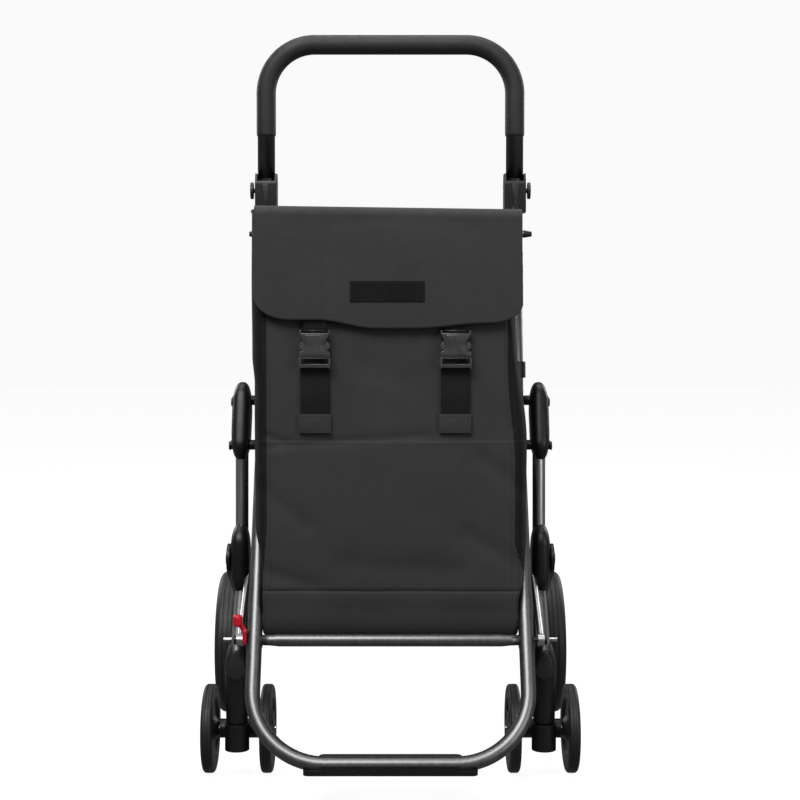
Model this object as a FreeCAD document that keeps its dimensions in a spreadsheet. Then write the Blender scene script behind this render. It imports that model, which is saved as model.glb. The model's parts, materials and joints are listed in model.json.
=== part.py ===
import FreeCAD, Part
import math
import os

# A folding four-point shopping trolley: a bent tube frame that leans forward, a hinged handle,
# folding rear legs with large wheels, twin-wheel front casters, and a fabric bag with a flap.
# +X points to the right as seen from the front, +Y to the rear wheels and +Z up. Millimetres.
# The origin is on the ground, in the middle of the trolley's length and width.

Vector = FreeCAD.Vector
doc = FreeCAD.newDocument("shopping_trolley")

SIZES = [
    # main frame tube
    ("frame_x", 179), ("frame_r", 10), ("tube_wall", 1.5),
    ("frame_top_y", -0.8), ("frame_top_z", 787),
    ("frame_bend_y", -40), ("frame_bend_z", 510), ("frame_bend_r", 150),
    ("loop_y", -294), ("loop_z", 58), ("loop_r", 95),
    ("low_bar_y", -214.5), ("low_bar_z", 200), ("low_bar_r", 8.5),
    ("top_bar_y", -7.1), ("top_bar_z", 744), ("top_bar_r", 5),
    ("knob_reach", 203), ("knob_r", 5.5),
    # foot pad
    ("pad_front_y", -309), ("pad_back_y", -234), ("pad_front_half", 113), ("pad_back_half", 91),
    ("pad_under_z", 47), ("pad_thick", 7), ("lip_high", 13), ("lip_thick", 4),
    # handle and its hinge
    ("handle_y", 6), ("hinge_z", 807), ("handle_top_z", 1016), ("handle_r", 12.5),
    ("handle_bend_r", 70), ("grip_r", 14), ("grip_end_z", 885), ("knuckle_top_z", 850),
    ("cheek_gap", 12.8), ("housing_half", 15.4), ("housing_under_z", 775), ("horn_z", 831),
    ("saddle_z", 820), ("cheek_r", 15.5), ("bush_r", 5.1), ("bush_bore_r", 3.8),
    ("running_gap", 0.05), ("button_r", 12), ("button_thick", 5), ("button_stem_r", 3.5),
    ("button_travel", 3),
    # side legs
    ("leg_x", 208), ("leg_r", 9), ("hub_wide", 27), ("hub_in_x", 196), ("hub_step", 2.2),
    ("upper_hub_y1", -47), ("upper_hub_z1", 507), ("upper_hub_r1", 26),
    ("upper_hub_y2", -74), ("upper_hub_z2", 446), ("upper_hub_r2", 22),
    ("lower_hub_y1", -83), ("lower_hub_z1", 309), ("lower_hub_r1", 27),
    ("lower_hub_y2", -87), ("lower_hub_z2", 263), ("lower_hub_r2", 24),
    ("strut_top_y", -73), ("strut_top_z", 470), ("strut_low_y", -81), ("strut_low_z", 290),
    ("leg_top_y", -87), ("leg_top_z", 250), ("leg_low_y", -161), ("leg_low_z", 170),
    ("brace_r", 4.5), ("brace_top_x", 198.4), ("brace_top_y", -95), ("brace_top_z", 268),
    ("brace_low_x", 198.4), ("brace_eye_r", 8.4), ("bolt_r", 3), ("bolt_head_r", 6), ("bolt_head_thick", 3),
    # front boots and casters
    ("swivel_y", -161), ("boot_low_z", 75.4), ("boot_low_r", 14.5), ("boot_mid_z", 150),
    ("boot_r", 16.5), ("collar_r", 13), ("collar_long", 34), ("stem_r", 6), ("stem_top_z", 110),
    ("caster_r", 16.5), ("caster_low_z", 39), ("caster_top_z", 75), ("caster_trail", 30),
    ("caster_barrel_r", 13), ("caster_barrel_half", 26), ("caster_wheel_r", 60),
    ("caster_wheel_off", 39.5), ("caster_tyre_half", 7.8), ("caster_rim_r", 48),
    ("caster_axle_r", 4), ("caster_axle_half", 51),
    ("cross_pin_r", 2.75), ("cross_pin_half", 19), ("cross_pin_y", -146), ("cross_pin_z", 186.2),
    # rear legs and wheels
    ("rear_pivot_y", -83), ("rear_pivot_z", 287), ("rear_axle_y", 199), ("rear_wheel_r", 110),
    ("rear_leg_x", 214), ("rear_leg_start", 75), ("lug_thick", 4.8), ("lug_gap", 0.4),
    ("lug_r", 21), ("lug_long", 120), ("rear_axle_r", 6), ("sleeve_r", 12),
    ("rear_wheel_x", 252), ("rear_tyre_half", 16.5), ("rear_rim_r", 88), ("pivot_pin_r", 5),
    # bag
    ("bag_half", 167), ("wing_half", 182), ("bag_front_y", -211), ("bag_back_y", -19),
    ("bag_low_z", 211), ("bag_top_z", 770), ("bag_wall", 3), ("wing_low_z", 256),
    ("wing_back_y", -53), ("wing_back_z", 512), ("wing_top_back_y", -28),
    ("board_gap", 1.5), ("board_thick", 3),
    ("flap_half", 178), ("flap_thick", 5), ("flap_gap", 6), ("flap_low_z", 612),
    ("flap_lift", 2.5), ("flap_hinge_y", -19), ("flap_corner_r", 26),
    ("patch_long", 97), ("patch_high", 27), ("patch_x", -4), ("patch_z", 645), ("patch_thick", 1.2),
    # straps and buckles
    ("buckle_left_x", -99), ("buckle_right_x", 85), ("strap_wide", 38), ("strap_thick", 1.8),
    ("strap_end_z", 498), ("tab_wide", 42), ("tab_high", 25), ("tab_thick", 3),
    ("buckle_top_z", 609), ("buckle_seam_z", 572.6), ("buckle_low_z", 557), ("buckle_wide", 41),
    ("buckle_thick", 9), ("prong_high", 17), ("prong_thick", 4),
    ("prong_wide", 7), ("bar_window_high", 6), ("strap_window_wide", 32),
    # fold latch lever
    ("lever_thick", 4), ("lever_r", 7), ("lever_end_r", 4.5), ("lever_bend_y", -3.5),
    ("lever_bend_z", 12), ("lever_stem_r", 3.4), ("lever_knob_x", -200.5), ("lever_knob_y", -7),
    ("lever_knob_z", 27), ("lever_knob_r", 6.3), ("lever_knob_high", 16),
    ("lever_knob_round", 4),
    # clips on the tube
    ("clip_r", 13.5), ("clip_high", 22), ("clip_z", 539),
]

sheet = doc.addObject("Spreadsheet::Sheet", "Sizes")
for row, (alias, value) in enumerate(SIZES, start=1):
    sheet.set(f"A{row}", alias)
    sheet.set(f"B{row}", str(value))
    sheet.setAlias(f"B{row}", alias)
doc.recompute()

sub_parts = []


def size(alias):
    return float(getattr(sheet, alias))


def keep(label, shape_object):
    """Name a finished sub-part; its label is also its file name."""
    shape_object.Label = label
    sub_parts.append(shape_object)
    return shape_object


def bind(target, **expressions):
    for property_name, expression in expressions.items():
        target.setExpression(property_name, expression)
    return target


def cell(alias):
    return f"Sizes.{alias}"


def place(target, position, direction=Vector(0, 0, 1)):
    target.Placement = FreeCAD.Placement(position, FreeCAD.Rotation(Vector(0, 0, 1), direction))
    return target


def rod(name, radius, start, end):
    """A Part cylinder between two points, its radius bound to the sheet."""
    span = end - start
    item = doc.addObject("Part::Cylinder", name)
    bind(item, Radius=radius)
    item.Height = span.Length
    return place(item, start, span)


def disc(name, radius, thickness, position, direction):
    item = doc.addObject("Part::Cylinder", name)
    bind(item, Radius=radius, Height=thickness)
    return place(item, position, direction)


def ball(name, radius, position):
    item = doc.addObject("Part::Sphere", name)
    bind(item, Radius=radius)
    return place(item, position)


def box(name, length, width, height, corner):
    item = doc.addObject("Part::Box", name)
    bind(item, Length=length, Width=width, Height=height)
    return place(item, corner)


def fuse(name, *items):
    item = doc.addObject("Part::MultiFuse", name)
    item.Shapes = list(items)
    return item


def cut(name, base, *tools):
    item = doc.addObject("Part::Cut", name)
    item.Base = base
    item.Tool = tools[0] if len(tools) == 1 else fuse(name + "_tools", *tools)
    return item


def group(label, *items):
    """Equal pieces that share one node as separate solids."""
    item = doc.addObject("Part::Compound", label)
    item.Links = list(items)
    return keep(label, item)


def mirrored(name, source):
    """The same piece on the other side of the trolley's middle plane."""
    item = doc.addObject("Part::Mirroring", name)
    item.Source = source
    item.Normal = Vector(1, 0, 0)
    return item


def both_sides(label, right_item):
    keep(label + "_right", right_item)
    return keep(label + "_left", mirrored(label + "_left", right_item))


def origin_plane(body, role):
    return next(feature for feature in body.Origin.OriginFeatures if feature.Role == role)


def sketch_on(body, name, role, geometry):
    sketch = body.newObject("Sketcher::SketchObject", name)
    sketch.AttachmentSupport = [(origin_plane(body, role), "")]
    sketch.MapMode = "FlatFace"
    sketch.addGeometry(geometry, False)
    return sketch


def polygon(points):
    """Closed outline of straight lines through (a, b) points in a sketch plane."""
    corners = [Vector(a, b, 0) for a, b in points]
    return [Part.LineSegment(p, q) for p, q in zip(corners, corners[1:] + corners[:1])]


def capsule(a, radius_a, b, radius_b):
    """Outline of two discs joined by their outer tangents, in a sketch plane."""
    first = Vector(a[0], a[1], 0)
    second = Vector(b[0], b[1], 0)
    along = second - first
    lean = math.acos((radius_a - radius_b) / along.Length)
    base = math.atan2(along.y, along.x)
    up = Vector(math.cos(base + lean), math.sin(base + lean), 0)
    down = Vector(math.cos(base - lean), math.sin(base - lean), 0)
    ahead = Vector(along).normalize()
    return [
        Part.Arc(first + up * radius_a, first - ahead * radius_a, first + down * radius_a),
        Part.LineSegment(first + down * radius_a, second + down * radius_b),
        Part.Arc(second + down * radius_b, second + ahead * radius_b, second + up * radius_b),
        Part.LineSegment(second + up * radius_b, first + up * radius_a),
    ]


def padded_body(name, geometry, length, position, role="YZ_Plane", midplane=False):
    """A PartDesign body: one sketch on an origin plane, padded by a bound length."""
    body = doc.addObject("PartDesign::Body", name)
    sketch = sketch_on(body, name + "_outline", role, geometry)
    pad = body.newObject("PartDesign::Pad", name + "_pad")
    pad.Profile = sketch
    pad.Midplane = midplane
    bind(pad, Length=length)
    body.Placement = FreeCAD.Placement(position, FreeCAD.Rotation())
    return body


def turned_body(name, profile, position):
    """A PartDesign body revolved about its own X axis from an (x, radius) outline."""
    body = doc.addObject("PartDesign::Body", name)
    sketch = sketch_on(body, name + "_profile", "XZ_Plane", polygon(profile))
    turn = body.newObject("PartDesign::Revolution", name + "_turn")
    turn.Profile = sketch
    turn.ReferenceAxis = (sketch, ["H_Axis"])
    turn.Angle = 360
    body.Placement = FreeCAD.Placement(position, FreeCAD.Rotation())
    return body


def round_edges(body, radius, chosen):
    """Fillet the edges of a body's tip that a test picks."""
    doc.recompute()
    tip = body.Tip
    names = [f"Edge{i}" for i, edge in enumerate(tip.Shape.Edges, start=1) if chosen(edge)]
    fillet = body.newObject("PartDesign::Fillet", body.Name + "_fillet")
    fillet.Base = (tip, names)
    bind(fillet, Radius=radius)
    return body


def rounded_path(corners, radii):
    """One wire of straight runs joined by tangent arcs."""
    edges = []
    start = corners[0]
    for before, corner, after, radius in zip(corners, corners[1:], corners[2:], radii):
        to_before = (before - corner).normalize()
        to_after = (after - corner).normalize()
        half = to_before.getAngle(to_after) / 2
        arc_start = corner + to_before * (radius / math.tan(half))
        arc_end = corner + to_after * (radius / math.tan(half))
        bisector = (to_before + to_after).normalize()
        middle = corner + bisector * (radius / math.sin(half) - radius)
        edges.append(Part.LineSegment(start, arc_start).toShape())
        edges.append(Part.Arc(arc_start, middle, arc_end).toShape())
        start = arc_end
    edges.append(Part.LineSegment(start, corners[-1]).toShape())
    return Part.Wire(edges)


def swept(path, radius):
    edge = path.Edges[0]
    circle = Part.makeCircle(radius, edge.Vertexes[0].Point, edge.tangentAt(edge.FirstParameter))
    return path.makePipeShell([Part.Wire(circle)], True, False)


def bent_tube(name, corners, radii, outer_r, inner_r):
    """A tube bent along a path, as a Part::Feature: no primitive follows a bend in space."""
    path = rounded_path(corners, radii)
    tube = doc.addObject("Part::Feature", name)
    tube.Shape = swept(path, outer_r).cut(swept(path, inner_r))
    return tube


X_AXIS = Vector(1, 0, 0)
Y_AXIS = Vector(0, 1, 0)

frame_x = size("frame_x")
leg_x = size("leg_x")
hinge = Vector(frame_x, size("handle_y"), size("hinge_z"))
slope_y = size("frame_bend_y") - size("loop_y")
slope_z = size("frame_bend_z") - size("loop_z")


def frame_y(z):
    """Y of the main tube's leaning straight at height z."""
    return size("loop_y") + (z - size("loop_z")) * slope_y / slope_z


# ---------------------------------------------------------------- main frame tube
frame_side = [
    Vector(frame_x, size("frame_top_y"), size("frame_top_z")),
    Vector(frame_x, size("frame_bend_y"), size("frame_bend_z")),
    Vector(frame_x, size("loop_y"), size("loop_z")),
]
frame_corners = frame_side + [Vector(-p.x, p.y, p.z) for p in reversed(frame_side)]
frame_bends = [size("frame_bend_r"), size("loop_r"), size("loop_r"), size("frame_bend_r")]
main_tube_blank = bent_tube("main_tube_blank", frame_corners, frame_bends, size("frame_r"),
                            size("frame_r") - size("tube_wall"))
frame_solid = doc.addObject("Part::Feature", "main_tube_outside")
frame_solid.Shape = swept(rounded_path(frame_corners, frame_bends), size("frame_r"))

# ---------------------------------------------------------------- bolts that join the sides
hub_bolt_heights = [504, 445]
bolts = []
for height in hub_bolt_heights:
    at = Vector(frame_x - size("frame_r") - 1, frame_y(height), height)
    end = Vector(size("hub_in_x") + size("hub_wide"), at.y, height)
    shank = rod("hub_bolt", cell("bolt_r"), at, end)
    head = disc("hub_bolt_head", cell("bolt_head_r"), cell("bolt_head_thick"), end, X_AXIS)
    bolts.append(fuse("hub_bolt_right", shank, head))
brace_low = Vector(size("brace_low_x"), size("low_bar_y"), size("low_bar_z"))
brace_shank = rod("brace_bolt", cell("bolt_r"), brace_low - X_AXIS * 14, brace_low + X_AXIS * 6)
brace_head = disc("brace_bolt_head", cell("bolt_head_r"), cell("bolt_head_thick"),
                  brace_low + X_AXIS * 4.6, X_AXIS)
bolts.append(fuse("brace_bolt_right", brace_shank, brace_head))
bolts_all = bolts + [mirrored("bolt_left", bolt) for bolt in bolts]
group("frame_bolts", *bolts_all)

# ---------------------------------------------------------------- crossbars
low_bar_at = Vector(-frame_x, size("low_bar_y"), size("low_bar_z"))
low_bar_blank = rod("lower_bar_blank", cell("low_bar_r"), low_bar_at, low_bar_at + X_AXIS * 2 * frame_x)
keep("lower_crossbar", cut("lower_crossbar", low_bar_blank, frame_solid))
top_bar_at = Vector(-frame_x - 12, size("top_bar_y"), size("top_bar_z"))
top_bar = rod("upper_crossbar", cell("top_bar_r"), top_bar_at, top_bar_at + X_AXIS * 2 * (frame_x + 12))
keep("upper_crossbar", top_bar)
knob_start = Vector(frame_x + 12, size("top_bar_y"), size("top_bar_z"))
knob = doc.addObject("Part::Cone", "bar_knob")
bind(knob, Radius1=cell("knob_r"), Height=f"{cell('knob_reach')} - {cell('frame_x')} - 12")
knob.Radius2 = size("knob_r") - 2
place(knob, knob_start, X_AXIS)
group("bar_knobs", knob, mirrored("bar_knob_left", knob))
keep("main_frame_tube", cut("main_frame_tube", main_tube_blank, top_bar, *bolts_all))

# ---------------------------------------------------------------- clips that hold the bag's sides
clip_slope = Vector(0, frame_side[0].y - frame_side[1].y, frame_side[0].z - frame_side[1].z).normalize()
clip_at = Vector(frame_x, 0, size("clip_z"))
clip_at.y = size("frame_bend_y") + (clip_at.z - size("frame_bend_z")) * clip_slope.y / clip_slope.z
clip_blank = rod("clip_blank", cell("clip_r"), clip_at, clip_at + clip_slope * size("clip_high"))
clip_room = box("clip_inner_room", "2 * Sizes.clip_r", "6 * Sizes.clip_r", "4 * Sizes.clip_high",
                Vector(frame_x - 9 - 2 * size("clip_r"), clip_at.y - 3 * size("clip_r"), clip_at.z - 30))
clip = cut("tube_clip", clip_blank, frame_solid, clip_room)
group("tube_clips", clip, mirrored("tube_clip_left", clip))

# ---------------------------------------------------------------- foot pad
pad_outline = polygon([
    (-size("pad_front_half"), size("pad_front_y")), (size("pad_front_half"), size("pad_front_y")),
    (size("pad_back_half"), size("pad_back_y")), (-size("pad_back_half"), size("pad_back_y")),
])
pad_plate = padded_body("foot_pad_plate", pad_outline, cell("pad_thick"),
                        Vector(0, 0, size("pad_under_z")), role="XY_Plane")
round_edges(pad_plate, cell("pad_thick"), lambda e: abs(e.Vertexes[0].Z - e.Vertexes[-1].Z) > 1)
lip = box("foot_pad_lip", f"2 * {cell('pad_back_half')} - 8", cell("lip_thick"), cell("lip_high"),
          Vector(-size("pad_back_half") + 4, size("pad_front_y"), size("pad_under_z")))
keep("foot_pad", cut("foot_pad", fuse("foot_pad_solid", pad_plate, lip), frame_solid))

# ---------------------------------------------------------------- handle hinge housings
under = size("housing_under_z") - size("hinge_z")
cheek_outline = [
    (-17, under), (14, under), (14, -20), (size("cheek_r"), 0), (size("cheek_r"), 8),
    (11, size("horn_z") - size("hinge_z")), (-11, size("horn_z") - size("hinge_z")), (-17, 8),
]
housing_block = padded_body("hinge_block", polygon(cheek_outline), f"2 * {cell('housing_half')}",
                            hinge, midplane=True)
clear = size("cheek_gap")
slot_outline = [
    (-clear, 0), (-clear, 60), (60, 60), (60, -24 - 60 * 0.36), (14, -19.5), (-3.9, -clear),
    (-9.4, -9.4),
]
knuckle_room = rod("knuckle_room", cell("cheek_gap"), hinge - X_AXIS * clear, hinge + X_AXIS * clear)
housing_slot = padded_body("hinge_slot", polygon(slot_outline), f"2 * {cell('cheek_gap')}",
                           hinge, midplane=True)
saddle_front = doc.addObject("Part::Box", "saddle_front")
bind(saddle_front, Length=f"2 * {cell('cheek_gap')}", Width="12", Height="20")
place(saddle_front, Vector(frame_x - clear, hinge.y - 20, size("saddle_z")))
bush_start = hinge - X_AXIS * size("housing_half")
bush_end = hinge + X_AXIS * size("housing_half")
bush_blank = rod("bush_blank", cell("bush_r"), bush_start, bush_end)
bush_bore = rod("bush_bore", cell("bush_bore_r"), bush_start - X_AXIS, bush_end + X_AXIS)
bush = cut("handle_bush", bush_blank, bush_bore)
both_sides("hinge_housing", cut("hinge_housing", housing_block, housing_slot, knuckle_room,
                                saddle_front, frame_solid, bush_blank))
group("hinge_bushes", bush, mirrored("handle_bush_left", bush))

# ---------------------------------------------------------------- handle
handle_side = [
    Vector(frame_x, hinge.y, size("knuckle_top_z") - 26),
    Vector(frame_x, hinge.y, size("handle_top_z")),
]
handle_corners = handle_side + [Vector(-p.x, p.y, p.z) for p in reversed(handle_side)]
handle_bends = [size("handle_bend_r")] * 2
keep("handle_tube", bent_tube("handle_tube", handle_corners, handle_bends, size("handle_r"),
                              size("handle_r") - size("tube_wall")))
grip_side = [Vector(frame_x, hinge.y, size("grip_end_z")), handle_side[1]]
grip_corners = grip_side + [Vector(-p.x, p.y, p.z) for p in reversed(grip_side)]
keep("handle_grip", bent_tube("handle_grip", grip_corners, handle_bends, size("grip_r"),
                              size("handle_r")))
knuckle_barrel = rod("knuckle_barrel", cell("handle_r"), hinge - X_AXIS * 12.4, hinge + X_AXIS * 12.4)
knuckle_neck = rod("knuckle_neck", cell("handle_r"), hinge, handle_side[0])
knuckle_plug = doc.addObject("Part::Cylinder", "knuckle_plug")
bind(knuckle_plug, Radius=f"{cell('handle_r')} - {cell('tube_wall')}", Height="20")
place(knuckle_plug, handle_side[0])
knuckle_bore = doc.addObject("Part::Cylinder", "knuckle_bore")
bind(knuckle_bore, Radius=f"{cell('bush_r')} + {cell('running_gap')}", Height="40")
place(knuckle_bore, hinge - X_AXIS * 20, X_AXIS)
knuckle = cut("handle_knuckle", fuse("knuckle_solid", knuckle_barrel, knuckle_neck, knuckle_plug),
              knuckle_bore)
group("handle_knuckles", knuckle, mirrored("handle_knuckle_left", knuckle))

button_face = hinge + X_AXIS * (size("housing_half") + size("button_travel") + 0.4)
button_cap = disc("button_cap", cell("button_r"), f"{cell('button_thick')} - 1", button_face, X_AXIS)
button_stem = rod("button_stem", cell("button_stem_r"), hinge + X_AXIS * 2, button_face + X_AXIS)
both_sides("handle_button", fuse("handle_button", button_cap, button_stem))

# ---------------------------------------------------------------- side struts, hubs, front legs
strut = rod("side_strut", cell("leg_r"), Vector(leg_x, size("strut_top_y"), size("strut_top_z")),
            Vector(leg_x, size("strut_low_y"), size("strut_low_z")))
strut_drilled = cut("side_strut_drilled", strut, *bolts[:2])
group("side_struts", strut_drilled, mirrored("side_strut_left", strut_drilled))
leg_top = Vector(leg_x, size("leg_top_y"), size("leg_top_z"))
leg_low = Vector(leg_x, size("leg_low_y"), size("leg_low_z"))
leg_blank = rod("front_leg_blank", cell("leg_r"), leg_top, leg_low)
pin_at = Vector(leg_x, size("cross_pin_y"), size("cross_pin_z"))
cross_pin = rod("leg_cross_pin", cell("cross_pin_r"), pin_at - X_AXIS * size("cross_pin_half"),
                pin_at + X_AXIS * size("cross_pin_half"))
group("leg_cross_pins", cross_pin, mirrored("leg_cross_pin_left", cross_pin))
both_sides("front_leg", cut("front_leg", leg_blank, cross_pin))


def hub(name):
    """An almond plate seen from the side, with a raised smaller almond on each of its faces."""
    step = size("hub_step")
    centres = [(size(name + "_y1"), size(name + "_z1")), (size(name + "_y2"), size(name + "_z2"))]
    radii = [size(name + "_r1"), size(name + "_r2")]
    rim = padded_body(name + "_rim", capsule(centres[0], radii[0], centres[1], radii[1]),
                      f"{cell('hub_wide')} - 2 * {cell('hub_step')}",
                      Vector(size("hub_in_x") + step, 0, 0))
    face = capsule(centres[0], radii[0] - step, centres[1], radii[1] - step)
    core = padded_body(name + "_core", face, cell("hub_wide"), Vector(size("hub_in_x"), 0, 0))
    return fuse(name + "_solid", rim, core)


pivot = Vector(size("hub_in_x") + size("hub_wide"), size("rear_pivot_y"), size("rear_pivot_z"))
pivot_pin = rod("rear_pivot_pin", cell("pivot_pin_r"), pivot - X_AXIS * 5, pivot + X_AXIS * 6)
pivot_head = disc("rear_pivot_head", "8", "1.6", pivot + X_AXIS * 5.6, X_AXIS)
pivot_bolt = fuse("rear_pivot_bolt", pivot_pin, pivot_head)
group("rear_pivot_pins", pivot_bolt, mirrored("rear_pivot_bolt_left", pivot_bolt))
both_sides("upper_hub", cut("upper_hub", hub("upper_hub"), strut, *bolts[:2]))
brace_top = Vector(size("brace_top_x"), size("brace_top_y"), size("brace_top_z"))
brace_bar = rod("brace_bar", cell("brace_r"), brace_top, brace_low)
brace_eye = disc("brace_eye", cell("brace_eye_r"), "8", brace_low - X_AXIS * 4, X_AXIS)
brace = cut("brace_link", fuse("brace_solid", brace_bar, brace_eye), brace_shank)
group("brace_links", brace, mirrored("brace_link_left", brace))
both_sides("lower_hub", cut("lower_hub", hub("lower_hub"), strut, leg_blank, pivot_pin, brace_bar))

# ---------------------------------------------------------------- front boots
swivel = Vector(leg_x, size("swivel_y"), 0)
boot_cone = doc.addObject("Part::Cone", "boot_cone")
bind(boot_cone, Radius1=cell("boot_low_r"), Radius2=cell("boot_r"),
     Height=f"{cell('boot_mid_z')} - {cell('boot_low_z')}")
place(boot_cone, swivel + Vector(0, 0, size("boot_low_z")))
boot_ball = ball("boot_ball", cell("boot_r"), swivel + Vector(0, 0, size("boot_mid_z")))
leg_direction = (leg_top - leg_low).normalize()
boot_knee = swivel + Vector(0, 0, size("boot_mid_z") + 6)
boot_collar = disc("boot_collar", cell("collar_r"), cell("collar_long"), boot_knee, leg_direction)
stem_room = doc.addObject("Part::Cylinder", "stem_room")
bind(stem_room, Radius=f"{cell('stem_r')} + {cell('running_gap')}",
     Height=f"{cell('stem_top_z')} - {cell('boot_low_z')} + 2")
place(stem_room, swivel + Vector(0, 0, size("boot_low_z") - 1))
boot_solid = fuse("boot_solid", boot_cone, boot_ball, boot_collar)
both_sides("front_boot", cut("front_boot", boot_solid, leg_blank, cross_pin, stem_room))

# ---------------------------------------------------------------- casters
axle_at = swivel + Vector(0, size("caster_trail"), size("caster_wheel_r"))
caster_post = doc.addObject("Part::Cylinder", "caster_post")
bind(caster_post, Radius=cell("caster_r"), Height=f"{cell('caster_top_z')} - {cell('caster_low_z')}")
place(caster_post, swivel + Vector(0, 0, size("caster_low_z")))
caster_barrel = rod("caster_barrel", cell("caster_barrel_r"),
                    axle_at - X_AXIS * size("caster_barrel_half"),
                    axle_at + X_AXIS * size("caster_barrel_half"))
caster_arm = box("caster_arm", "24", cell("caster_trail"), "22",
                 swivel + Vector(-12, 0, size("caster_wheel_r") - 11))
caster_stem = doc.addObject("Part::Cylinder", "caster_stem")
bind(caster_stem, Radius=cell("stem_r"), Height=f"{cell('stem_top_z')} - {cell('caster_top_z')} + 10")
place(caster_stem, swivel + Vector(0, 0, size("caster_top_z") - 10))
caster_axle = rod("caster_axle", cell("caster_axle_r"), axle_at - X_AXIS * size("caster_axle_half"),
                  axle_at + X_AXIS * size("caster_axle_half"))
caster_solid = fuse("caster_solid", caster_post, caster_barrel, caster_arm, caster_stem)
both_sides("caster_body", cut("caster_body", caster_solid, caster_axle))
both_sides("caster_axle", caster_axle)


def caster_wheel(name, side_sign, position):
    """Rim with a cone towards the caster, and a crowned tyre around it."""
    half = size("caster_tyre_half")
    rim_r = size("caster_rim_r")
    wheel_r = size("caster_wheel_r")
    bore = size("caster_axle_r") + size("running_gap")
    rim_profile = [
        (-half - 4.2, bore), (-half - 4.2, 9), (-half + 1, 17), (-3, 19), (-3, rim_r - 7),
        (-half + 0.5, rim_r - 5), (-half + 0.5, rim_r), (half - 0.5, rim_r), (half - 0.5, rim_r - 5),
        (3, rim_r - 7), (3, 16), (half + 1, 14), (half + 1, bore),
    ]
    tyre_profile = [
        (-half + 0.5, rim_r), (-half, rim_r + 3), (-half + 0.5, wheel_r - 5), (-half + 3, wheel_r - 1),
        (-2.5, wheel_r), (2.5, wheel_r), (half - 3, wheel_r - 1), (half - 0.5, wheel_r - 5),
        (half, rim_r + 3), (half - 0.5, rim_r),
    ]
    rim = turned_body(name + "_rim", [(side_sign * a, r) for a, r in rim_profile], position)
    tyre = turned_body(name + "_tyre", [(side_sign * a, r) for a, r in tyre_profile], position)
    return rim, tyre


for place_name, side_sign in (("outer", 1), ("inner", -1)):
    wheel_at = axle_at + X_AXIS * size("caster_wheel_off") * side_sign
    rim, tyre = caster_wheel("caster_" + place_name, side_sign, wheel_at)
    both_sides("caster_rim_" + place_name, rim)
    both_sides("caster_tyre_" + place_name, tyre)

# ---------------------------------------------------------------- rear legs, axle and wheels
rear_pivot = Vector(size("rear_leg_x"), size("rear_pivot_y"), size("rear_pivot_z"))
rear_axle_at = Vector(size("rear_leg_x"), size("rear_axle_y"), size("rear_wheel_r"))
rear_direction = (rear_axle_at - rear_pivot).normalize()
rear_axle_end = size("rear_wheel_x") + size("rear_tyre_half") - 1
rear_axle = rod("rear_axle", cell("rear_axle_r"),
                Vector(-rear_axle_end, size("rear_axle_y"), size("rear_wheel_r")),
                Vector(rear_axle_end, size("rear_axle_y"), size("rear_wheel_r")))
keep("rear_axle", rear_axle)
sleeve = rod("axle_sleeve", cell("sleeve_r"), rear_axle_at - X_AXIS * 10, rear_axle_at + X_AXIS * 10)
rear_leg = rod("rear_leg_blank", cell("leg_r"), rear_pivot + rear_direction * size("rear_leg_start"),
               rear_axle_at)
both_sides("rear_leg", cut("rear_leg", fuse("rear_leg_solid", rear_leg, sleeve), rear_axle))
lug_start = (size("rear_pivot_y"), size("rear_pivot_z"))
lug_end = (size("rear_pivot_y") + rear_direction.y * size("lug_long"),
           size("rear_pivot_z") + rear_direction.z * size("lug_long"))
lug_plate = padded_body("rear_lug_plate", capsule(lug_start, size("lug_r"), lug_end, 9),
                        cell("lug_thick"), Vector(pivot.x + size("lug_gap"), 0, 0))
pin_room = doc.addObject("Part::Cylinder", "pivot_pin_room")
bind(pin_room, Radius=f"{cell('pivot_pin_r')} + {cell('running_gap')}", Height="20")
place(pin_room, pivot - X_AXIS * 8, X_AXIS)
lug = cut("rear_leg_lug", lug_plate, pin_room, rear_leg)
group("rear_leg_lugs", lug, mirrored("rear_leg_lug_left", lug))

half = size("rear_tyre_half")
rim_r = size("rear_rim_r")
wheel_r = size("rear_wheel_r")
bore = size("rear_axle_r") + size("running_gap")
rear_wheel_at = Vector(size("rear_wheel_x"), size("rear_axle_y"), size("rear_wheel_r"))
rear_rim_profile = [
    (-half + 1.5, bore), (-half + 1.5, 16), (-6, 22), (-4, 60), (-7, rim_r - 10), (-half + 3, rim_r - 6),
    (-half + 3, rim_r), (half - 3, rim_r), (half - 3, rim_r - 6), (7, rim_r - 10), (4, 60), (6, 22),
    (half - 4, 16), (half - 4, bore),
]
rear_tyre_profile = [
    (-half + 3, rim_r), (-half, rim_r + 6), (-half + 1, wheel_r - 9), (-half + 7, wheel_r - 2),
    (-5, wheel_r), (5, wheel_r), (half - 7, wheel_r - 2), (half - 1, wheel_r - 9), (half, rim_r + 6),
    (half - 3, rim_r),
]
both_sides("rear_rim", turned_body("rear_rim_body", rear_rim_profile, rear_wheel_at))
both_sides("rear_tyre", turned_body("rear_tyre_body", rear_tyre_profile, rear_wheel_at))
cap_profile = [(half - 4, 0), (half - 4, 15), (half - 1, 15), (half, 12), (half, 0)]
cap_room = rod("cap_room", "Sizes.rear_axle_r + Sizes.running_gap",
               Vector(0, rear_axle_at.y, rear_axle_at.z),
               Vector(rear_axle_end + 0.1, rear_axle_at.y, rear_axle_at.z))
both_sides("rear_cap", cut("rear_cap", turned_body("rear_cap_body", cap_profile, rear_wheel_at), cap_room))

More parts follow.
